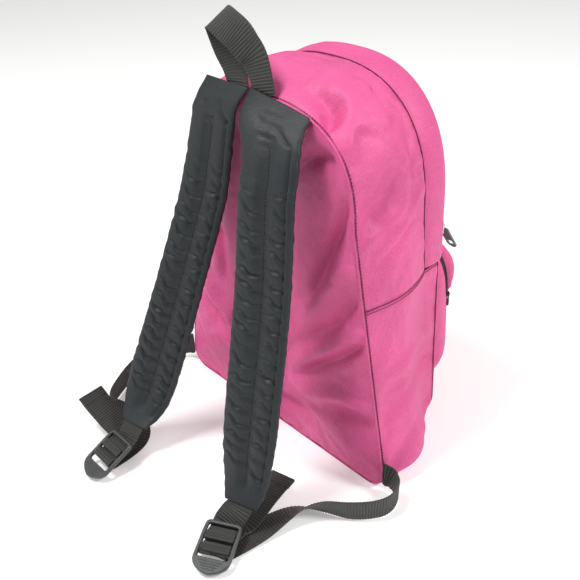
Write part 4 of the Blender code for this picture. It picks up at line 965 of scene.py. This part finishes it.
# Depth and width of the two dips that make the channel; depth, place and width of a pucker's dip and
# of the rise after it
CHANNEL = ((0.0030, 0.0022), (0.0017, 0.0070))
PAD_PUCKER = ((0.0026, 0.0, 0.0017), (-0.0008, 0.0050, 0.0032))


def crease_depth(arc, across):
    """Depth of the creases where a pad's channel starts."""
    depth = 0.0
    for start, first, end, last, deep in START_CREASES:
        run = np.array([end - start, last - first])
        offset = np.array([arc - PAD_START - start, across - first])
        share = min(max(float(offset @ run) / float(run @ run), 0.0), 1.0)
        gap = float(np.linalg.norm(offset - run * share))
        depth += deep * math.exp(-(gap / 0.0022) ** 2)
    return depth


def pad_relief(arc, across, half, length, rows, face):
    """Height of the quilting over a pad's plain face at a place along and across it."""
    channel = sum(deep * math.exp(-(across / width) ** 2) for deep, width in CHANNEL)
    side = 0 if across < 0.0 else 1
    window = math.exp(-((abs(across) - half * 0.42) / (half * 0.38)) ** 4)
    depth = 0.0
    near = rows[side][np.abs(rows[side][:, 0] - arc) < 0.05]
    for place, strength, slope in near:
        start = across + half * 0.5 if side == 0 else (across - half * 0.2) * 0.8
        line = arc - place - start * slope + 0.0016 * math.sin(across * 420.0 + place * 300.0)
        for deep, place_after, width in PAD_PUCKER:
            depth += strength * deep * math.exp(-((line - place_after) / width) ** 2)
    hem = HEM_DEPTH * math.exp(-((across - half * EDGE_LINE) / HEM_WIDTH) ** 2) \
        if face > 0.0 else 0.0
    begin = min(max((arc - PAD_START) / 0.012, 0.0), 1.0)
    quilt = min(max((arc - 0.060) / 0.05, 0.0), 1.0)
    finish = min(max((length - 0.014 - arc) / 0.010, 0.0), 1.0)
    start = crease_depth(arc, across) if face > 0.0 and arc < 0.08 else 0.0
    return -(channel + hem) * begin * finish - depth * window * quilt * finish - start


def make_pad(side, table, seed):
    """One quilted shoulder pad with a stitched channel."""
    path = pad_path(table)
    arcs = path_length(path[:, :3])
    length = arcs[-1]
    rows = (pucker_rows(length, seed, 0.085, length - 0.035),
            pucker_rows(length, seed + 3.0, 0.080, length - 0.035))
    verts, channel, edge, ups = [], [], [], []
    for index, arc in enumerate(arcs):
        along, across, out = pad_frame(path, index)
        half, deep = path[index, 3] / 2.0, path[index, 4] / 2.0
        thin = min(deep / 0.004, 1.0)
        ripple = [0.0012 * noise.noise(Vector((arc / 0.009, seed + end, 1.0)))
                  for end in (0.0, 20.0)]
        for turn in range(PAD_ROUND):
            angle = 2.0 * math.pi * turn / PAD_ROUND
            cosine, sine = math.cos(angle), math.sin(angle)
            wide = math.copysign(abs(cosine) ** 0.5, cosine) * (half + ripple[cosine > 0.0])
            high = math.copysign(abs(sine) ** 0.77, sine) * deep
            face = math.copysign(1.0, sine)
            relief = pad_relief(arc, wide, half, length, rows, face)
            high += face * relief * min(abs(sine) * 2.5, 1.0) * thin
            verts.append(path[index, :3] + across * wide + out * high)
        if PAD_START + 0.002 < arc < length - 0.018:
            channel.append(path[index, :3] + out * (deep - 0.0046 * thin))
            edge_sine = math.sqrt(1.0 - EDGE_LINE ** 4)
            edge.append(path[index, :3] + across * half * EDGE_LINE
                        + out * (deep * edge_sine ** 0.77 - 0.0014 * thin))
            ups.append(out)
    name = side + "_strap_pad"
    pad = make_piece(name, verts, tube_faces(PAD_ROUND, len(path)), "pad", nodes=(name,))
    stitch_row(side + "_pad_stitches", channel, ups, "black_thread")
    stitch_row(side + "_pad_edge_stitches", edge, ups, "black_thread")
    return path


LOCK_LENGTH = 0.055
LOCK_WIDTH = 0.0385
LOCK_THICKNESS = 0.0046
LOCK_RIM = 0.0036
LOCK_TAB = 0.016
LOCK_CORNER = 0.005
LOCK_TOP_SHARE = 0.98
LOCK_BAR = 0.0038
LOCK_BAR_HEIGHT = 0.0030
LOCK_BAR_PLACES = (0.34, 0.70)
TONGUE_GAP = 0.0004
RIGHT_LOCK = ((0.104, -0.176, 0.0124), 30.0, 12.0)
LEFT_LOCK = ((-0.075, -0.187, 0.0165), 0.0, 25.0)


def lock_axes(place, heading, tilt):
    """Origin and axes of a ladder lock: up the strap, across it and out of its face."""
    turn, lean = math.radians(heading), math.radians(tilt)
    flat = np.array([-math.sin(turn), math.cos(turn), 0.0])
    upward = np.array([0.0, 0.0, 1.0])
    along = flat * math.cos(lean) + upward * math.sin(lean)
    across = np.cross(flat, upward)
    return np.array(place), along, across, np.cross(across, along)


def lock_window():
    """Top and bottom of the window that the bars cross, along the strap."""
    return LOCK_LENGTH / 2.0 - LOCK_RIM, -LOCK_LENGTH / 2.0 + LOCK_TAB


def lock_bars():
    """Middles of the two bars, along the strap."""
    top, bottom = lock_window()
    return [top - (top - bottom) * share for share in LOCK_BAR_PLACES]


def flat_shape(name, splines, thickness, bevel, axes, nodes=(), lift=0.0):
    """A plate with rounded edges, from closed outlines given across and along a fitting's axes."""
    curve = bpy.data.curves.new(name + "_outline", "CURVE")
    curve.dimensions = "2D"
    curve.fill_mode = "BOTH"
    curve.extrude = thickness / 2.0 - bevel
    curve.bevel_depth = bevel
    curve.bevel_resolution = 3
    curve.offset = -bevel
    for outline in splines:
        spline = curve.splines.new("POLY")
        spline.points.add(len(outline) - 1)
        for point, (x, y) in zip(spline.points, outline):
            point.co = (x, y, 0.0, 1.0)
        spline.use_cyclic_u = True
    holder = bpy.data.objects.new(name + "_outline", curve)
    bpy.context.scene.collection.objects.link(holder)
    bpy.context.view_layer.update()
    mesh = bpy.data.meshes.new_from_object(holder.evaluated_get(
        bpy.context.evaluated_depsgraph_get()))
    bpy.data.objects.remove(holder)
    origin, along, across, out = axes
    points = [origin + across * v.co.x + along * v.co.y + out * (v.co.z + lift)
              for v in mesh.vertices]
    faces = [tuple(p.vertices) for p in mesh.polygons]
    bpy.data.meshes.remove(mesh)
    piece = make_piece(name, points, faces, "plastic", nodes)
    piece.data.set_sharp_from_angle(angle=math.radians(40.0))


def round_box(width, height, corner, centre=(0.0, 0.0), steps=5):
    """Outline of a rectangle with rounded corners."""
    points = []
    for number, (sx, sy) in enumerate(((1, 1), (-1, 1), (-1, -1), (1, -1))):
        for step in range(steps + 1):
            angle = math.pi / 2.0 * (number + step / steps)
            points.append((centre[0] + sx * (width / 2.0 - corner) + corner * math.cos(angle),
                           centre[1] + sy * (height / 2.0 - corner) + corner * math.sin(angle)))
    return points


def make_lock(side, axes):
    """Ladder lock: a rounded frame with two bars and a grip tab."""
    half, top = LOCK_WIDTH / 2.0, LOCK_LENGTH / 2.0
    waist = -top + LOCK_TAB
    outline = []
    for step in range(7):
        angle = math.pi / 2.0 * step / 6.0
        outline.append((half * LOCK_TOP_SHARE - LOCK_CORNER * (1.0 - math.cos(angle)),
                        top - LOCK_CORNER * (1.0 - math.sin(angle))))
    outline += [(-x, y) for x, y in outline[::-1]]
    outline += [(-half, top * 0.5), (-half, waist)]
    for step in range(1, 16):
        angle = math.pi * step / 16.0
        wide = math.copysign(abs(math.cos(angle)) ** 1.5, -math.cos(angle))
        outline.append((half * wide, waist - LOCK_TAB * math.sin(angle) ** 0.85))
    outline += [(half, waist), (half, top * 0.5)]
    high, low = lock_window()
    wide = LOCK_WIDTH - 2.0 * LOCK_RIM
    window = round_box(wide, high - low, 0.0022, (0.0, (high + low) / 2.0))[::-1]
    name = side + "_ladder_lock"
    flat_shape(name, [outline, window], LOCK_THICKNESS, 0.0011, axes, (name,))
    for number, middle in enumerate(lock_bars()):
        bar = round_box(wide + LOCK_RIM, LOCK_BAR, 0.0004, (0.0, middle))
        flat_shape(side + "_lock_bar_" + str(number), [bar], LOCK_BAR_HEIGHT, 0.0009, axes)
    for number in range(4):
        place = waist - 0.0035 - number * 0.0026
        ridge = round_box(LOCK_WIDTH * (0.62 - 0.10 * number), 0.0011, 0.0004, (0.0, place))
        flat_shape(side + "_lock_ridge_" + str(number), [ridge], 0.0012, 0.0004, axes,
                   lift=LOCK_THICKNESS / 2.0)


def local_rows(axes, points):
    """Rows of a webbing path given along and out of a lock, with its width across the lock."""
    origin, along, across, out = axes
    return [np.concatenate([origin + along * distance + out * height, across])
            for distance, height in points]


# Webbing: x, y and z as shares of the back's half width, the straps' reach and the webbing's width,
# and the angle from lying flat to standing on edge
RIGHT_STRAND = (
    (1.004, -0.008, 0.90, 90.0), (1.070, 0.020, 0.72, 90.0), (1.138, -0.014, 0.60, 88.0),
    (1.169, -0.136, 0.57, 85.0), (1.131, -0.257, 0.56, 82.0), (1.031, -0.386, 0.55, 80.0),
    (0.880, -0.500, 0.50, 66.0), (0.745, -0.660, 0.28, 28.0), (0.690, -0.930, 0.10, 4.0),
)
LEFT_STRAND = (
    (-0.999, -0.008, 0.90, 90.0), (-1.090, -0.060, 0.72, 90.0), (-1.160, -0.250, 0.58, 88.0),
    (-1.160, -0.500, 0.56, 86.0), (-1.056, -0.771, 0.55, 84.0), (-0.919, -0.975, 0.53, 78.0),
    (-0.760, -0.960, 0.43, 50.0), (-0.610, -0.950, 0.26, 20.0), (-0.500, -1.060, 0.24, 4.0),
)
RIGHT_TAIL = (
    (0.580, -1.020, 0.21, 0.0), (0.590, -0.930, 0.23, 0.0), (0.566, -0.730, 0.52, 4.0),
    (0.535, -0.505, 0.66, 8.0),
)
LEFT_TAIL = (
    (-0.500, -1.143, 0.55, 4.0), (-0.590, -1.086, 0.63, 6.0), (-0.720, -1.096, 0.87, 10.0),
    (-0.845, -1.110, 1.20, 12.0), (-0.940, -1.114, 1.45, 6.0),
)


def strand_rows(table, forward):
    """Rows of a webbing path from a table; forward is 1 where the rows run towards the lock."""
    scale = np.array([BACK["low"], STRAP_REACH, WEBBING_WIDTH])
    places = [np.array(row[:3]) * scale for row in table]
    rows = []
    for index, row in enumerate(table):
        ahead = places[min(index + 1, len(places) - 1)] - places[max(index - 1, 0)]
        level = unit(np.array([ahead[1], -ahead[0], 0.0]) * -forward)
        edge = math.radians(row[3])
        width = level * math.cos(edge) + np.array([0.0, 0.0, 1.0]) * math.sin(edge)
        rows.append(np.concatenate([places[index], width]))
    return rows


RIB_PITCH = 0.0029
RIB_ROWS = 6
RIB_HEIGHT = 0.00046
HEM_SHARE = 0.55
RIBBON_PROFILE = (-1.0, -0.97, -0.9, -0.6, -0.2, 0.2, 0.6, 0.9, 0.97, 1.0)


def ribbon(name, rows, hem_end=0.0):
    """Ribbed webbing along a smooth path of rows of place and width direction."""
    fine = curve_through(rows, 24)
    count = int(path_length(fine[:, :3])[-1] / RIB_PITCH * RIB_ROWS)
    path = even_path(fine, count + 1)
    arcs = path_length(path[:, :3])
    verts, uvs = [], []
    for index, arc in enumerate(arcs):
        along = unit(path[min(index + 2, count), :3] - path[max(index - 2, 0), :3])
        across = path[index, 3:6]
        across = unit(across - along * float(across @ along) * min(index / 24.0, 1.0))
        out = unit(np.cross(along, across))
        rib = RIB_HEIGHT * (math.cos(2.0 * math.pi * arc / RIB_PITCH) - 0.6)
        double = WEBBING * HEM_SHARE if arcs[-1] - arc < hem_end else 0.0
        for face in (1.0, -1.0):
            for share in RIBBON_PROFILE[::int(face)]:
                edge = max(1.0 - (max(abs(share) - 0.86, 0.0) / 0.14) ** 2, 0.0)
                thick = (WEBBING / 2.0 + rib) * (0.25 + 0.75 * math.sqrt(edge)) + double
                verts.append(path[index, :3] + across * share * WEBBING_WIDTH / 2.0
                             + out * face * thick)
                uvs.append((share * 10.0, arc / RIB_PITCH))
    faces = tube_faces(2 * len(RIBBON_PROFILE), count + 1)
    piece = make_piece(name, verts, faces, "webbing", nodes=(name,))
    layer = piece.data.uv_layers.new(name="ribbon")
    flat = [uvs[loop.vertex_index] for loop in piece.data.loops]
    layer.data.foreach_set("uv", np.array(flat).ravel())


def over_bar(middle, forward):
    """Path of webbing over a bar, as (along, out); forward is 1 where it runs up the strap."""
    reach = WEBBING / 2.0 + SEAM_GAP * 3.0
    beside = LOCK_BAR / 2.0 + reach * 1.3
    corner = LOCK_BAR / 2.0 + reach * 0.75
    above = LOCK_BAR_HEIGHT / 2.0 + reach
    shoulder = LOCK_BAR_HEIGHT / 2.0 + reach * 0.75
    points = [(-beside, 0.0), (-corner, shoulder), (0.0, above), (corner, shoulder), (beside, 0.0)]
    return [(middle + forward * distance, height) for distance, height in points]


def make_strap(side, pad_table, strand, tail, lock, seed):
    """One shoulder strap: pad, its webbing, the ladder lock and the webbing from the bag."""
    path = make_pad(side, pad_table, seed)
    axes = lock_axes(*lock)
    make_lock(side, axes)
    first, second = lock_bars()
    top, _ = lock_window()
    under = LOCK_THICKNESS / 2.0 + WEBBING / 2.0 + SEAM_GAP * 2.0
    tail_level = -(under + WEBBING + SEAM_GAP * 2.0)
    strand_level = tail_level - WEBBING - SEAM_GAP * 2.0
    along, across, _ = pad_frame(path, len(path) - 1)
    start = np.concatenate([path[-1, :3] + along * TONGUE_GAP, across])
    held = local_rows(axes, [(LOCK_LENGTH / 2.0 + WEBBING, -under - WEBBING / 2.0), (top, -under)]
                      + over_bar(first, -1.0))
    ribbon(side + "_pad_webbing", [start, (start + held[0]) / 2.0] + held)
    through = local_rows(axes, [(second, strand_level)] + over_bar(second, 1.0)
                         + [(first, tail_level)])
    rows = strand_rows(strand, 1.0) + through + strand_rows(tail, -1.0)
    ribbon(side + "_adjuster_webbing", rows, 0.012)


LOOP_RISE = 0.066
LOOP_SPREAD = 0.033
LOOP_STEP = 0.004
STRAP_MEET = -0.013


# Rows of the loop between its feet: lean, back and rise as shares of its rise, and the direction of
# the webbing's width
LOOP_ROWS = (
    (-0.33, 0.02, 0.28, (0.95, 0.20, 0.00)),
    (-0.45, 0.03, 0.56, (0.65, 0.60, 0.20)),
    (-0.56, 0.02, 0.82, (0.28, 0.78, 0.52)),
    (-0.60, 0.00, 0.90, (0.21, 0.79, 0.57)),
    (-0.53, -0.03, 0.92, (0.21, 0.79, 0.57)),
    (-0.34, -0.05, 0.86, (0.15, 0.65, 0.72)),
    (-0.13, -0.05, 0.77, (0.12, 0.50, 0.85)),
    (0.025, -0.04, 0.64, (0.35, 0.35, 0.80)),
    (0.156, -0.02, 0.50, (0.65, 0.22, 0.55)),
    (0.238, 0.00, 0.27, (0.92, 0.10, 0.20)),
)


def make_grab_loop():
    """Loop of webbing whose legs are sewn side by side into the top seam."""
    foot = BACK["height"] + SEAM_GAP
    front = -(WEBBING / 2.0 + SEAM_GAP)
    half = LOOP_SPREAD / 2.0 + SEAM_GAP
    rows = [(STRAP_MEET + LOOP_RISE * lean, front + LOOP_RISE * back, foot + LOOP_RISE * rise,
             *width) for lean, back, rise, width in LOOP_ROWS]
    left, right = [(STRAP_MEET + shift, front, foot, 1.0, 0.0, 0.0)
                   for shift in (-half, half + LOOP_STEP)]
    ribbon("grab_loop", [left] + rows + [right])


# Lamps: name, place, size and power in watts
LAMPS = (("key", (1.5, 0.7, 1.7), 0.45, 31.0), ("fill", (-1.1, -1.5, 1.0), 1.2, 8.0),
         ("top", (-0.4, -0.7, 2.1), 0.5, 32.0))


def make_stage():
    """Pale floor, soft lights and a white world."""
    bpy.ops.mesh.primitive_plane_add(size=12.0, location=(0.0, 0.0, 0.0))
    floor = bpy.context.object
    floor.name = "floor"
    material, tree, shader = new_material("floor_paper")
    fill(tree, shader, {"Base Color": (0.86, 0.86, 0.85, 1.0), "Roughness": 0.75,
                        "Emission Color": (1.0, 1.0, 0.99, 1.0), "Emission Strength": 0.25})
    floor.data.materials.append(material)
    world = bpy.data.worlds.new("studio")
    bpy.context.scene.world = world
    world.use_nodes = True
    background = world.node_tree.nodes["Background"]
    background.inputs["Color"].default_value = (1.0, 1.0, 1.0, 1.0)
    background.inputs["Strength"].default_value = 0.40
    bpy.context.scene.view_settings.view_transform = "Standard"
    target = Vector((0.0, 0.0, 0.18))
    for name, place, size, power in LAMPS:
        light = bpy.data.lights.new(name, "AREA")
        light.size = size
        light.energy = power
        lamp = bpy.data.objects.new(name, light)
        lamp.location = place
        lamp.rotation_euler = (target - Vector(place)).to_track_quat("-Z", "Y").to_euler()
        bpy.context.scene.collection.objects.link(lamp)


def make_camera():
    """The camera at the photograph's place and angle."""
    turn, lift, roll = [math.radians(value) for value in (CAMERA_AZIMUTH, CAMERA_ELEVATION,
                                                          CAMERA_ROLL)]
    back = np.array([math.sin(turn) * math.cos(lift), -math.cos(turn) * math.cos(lift),
                     math.sin(lift)])
    right = np.array([math.cos(turn), math.sin(turn), 0.0])
    up = np.cross(back, right)
    matrix = np.identity(4)
    matrix[:3, 0] = math.cos(roll) * right - math.sin(roll) * up
    matrix[:3, 1] = math.sin(roll) * right + math.cos(roll) * up
    matrix[:3, 2] = back
    matrix[:3, 3] = np.array(CAMERA_PLACE) + HOME
    data = bpy.data.cameras.new("camera")
    data.lens = CAMERA_LENS
    data.sensor_width = CAMERA_SENSOR
    camera = bpy.data.objects.new("camera", data)
    camera.matrix_world = Matrix([list(row) for row in matrix])
    bpy.context.scene.collection.objects.link(camera)
    bpy.context.scene.camera = camera


def dress_small_parts():
    """Finishes of the CAD nodes that stay."""
    for node, finish in (("main_slider", "metal"), ("pocket_slider", "metal"),
                         ("main_pull", "tab"), ("pocket_pull", "zip")):
        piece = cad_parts[node]
        piece.data.materials.clear()
        piece.data.materials.append(MATERIALS[finish])


make_stage()
make_camera()
make_bag()
make_pocket()
make_strap("right", RIGHT_PAD, RIGHT_STRAND, RIGHT_TAIL, RIGHT_LOCK, 31.0)
make_strap("left", LEFT_PAD, LEFT_STRAND, LEFT_TAIL, LEFT_LOCK, 41.0)
make_grab_loop()
dress_small_parts()
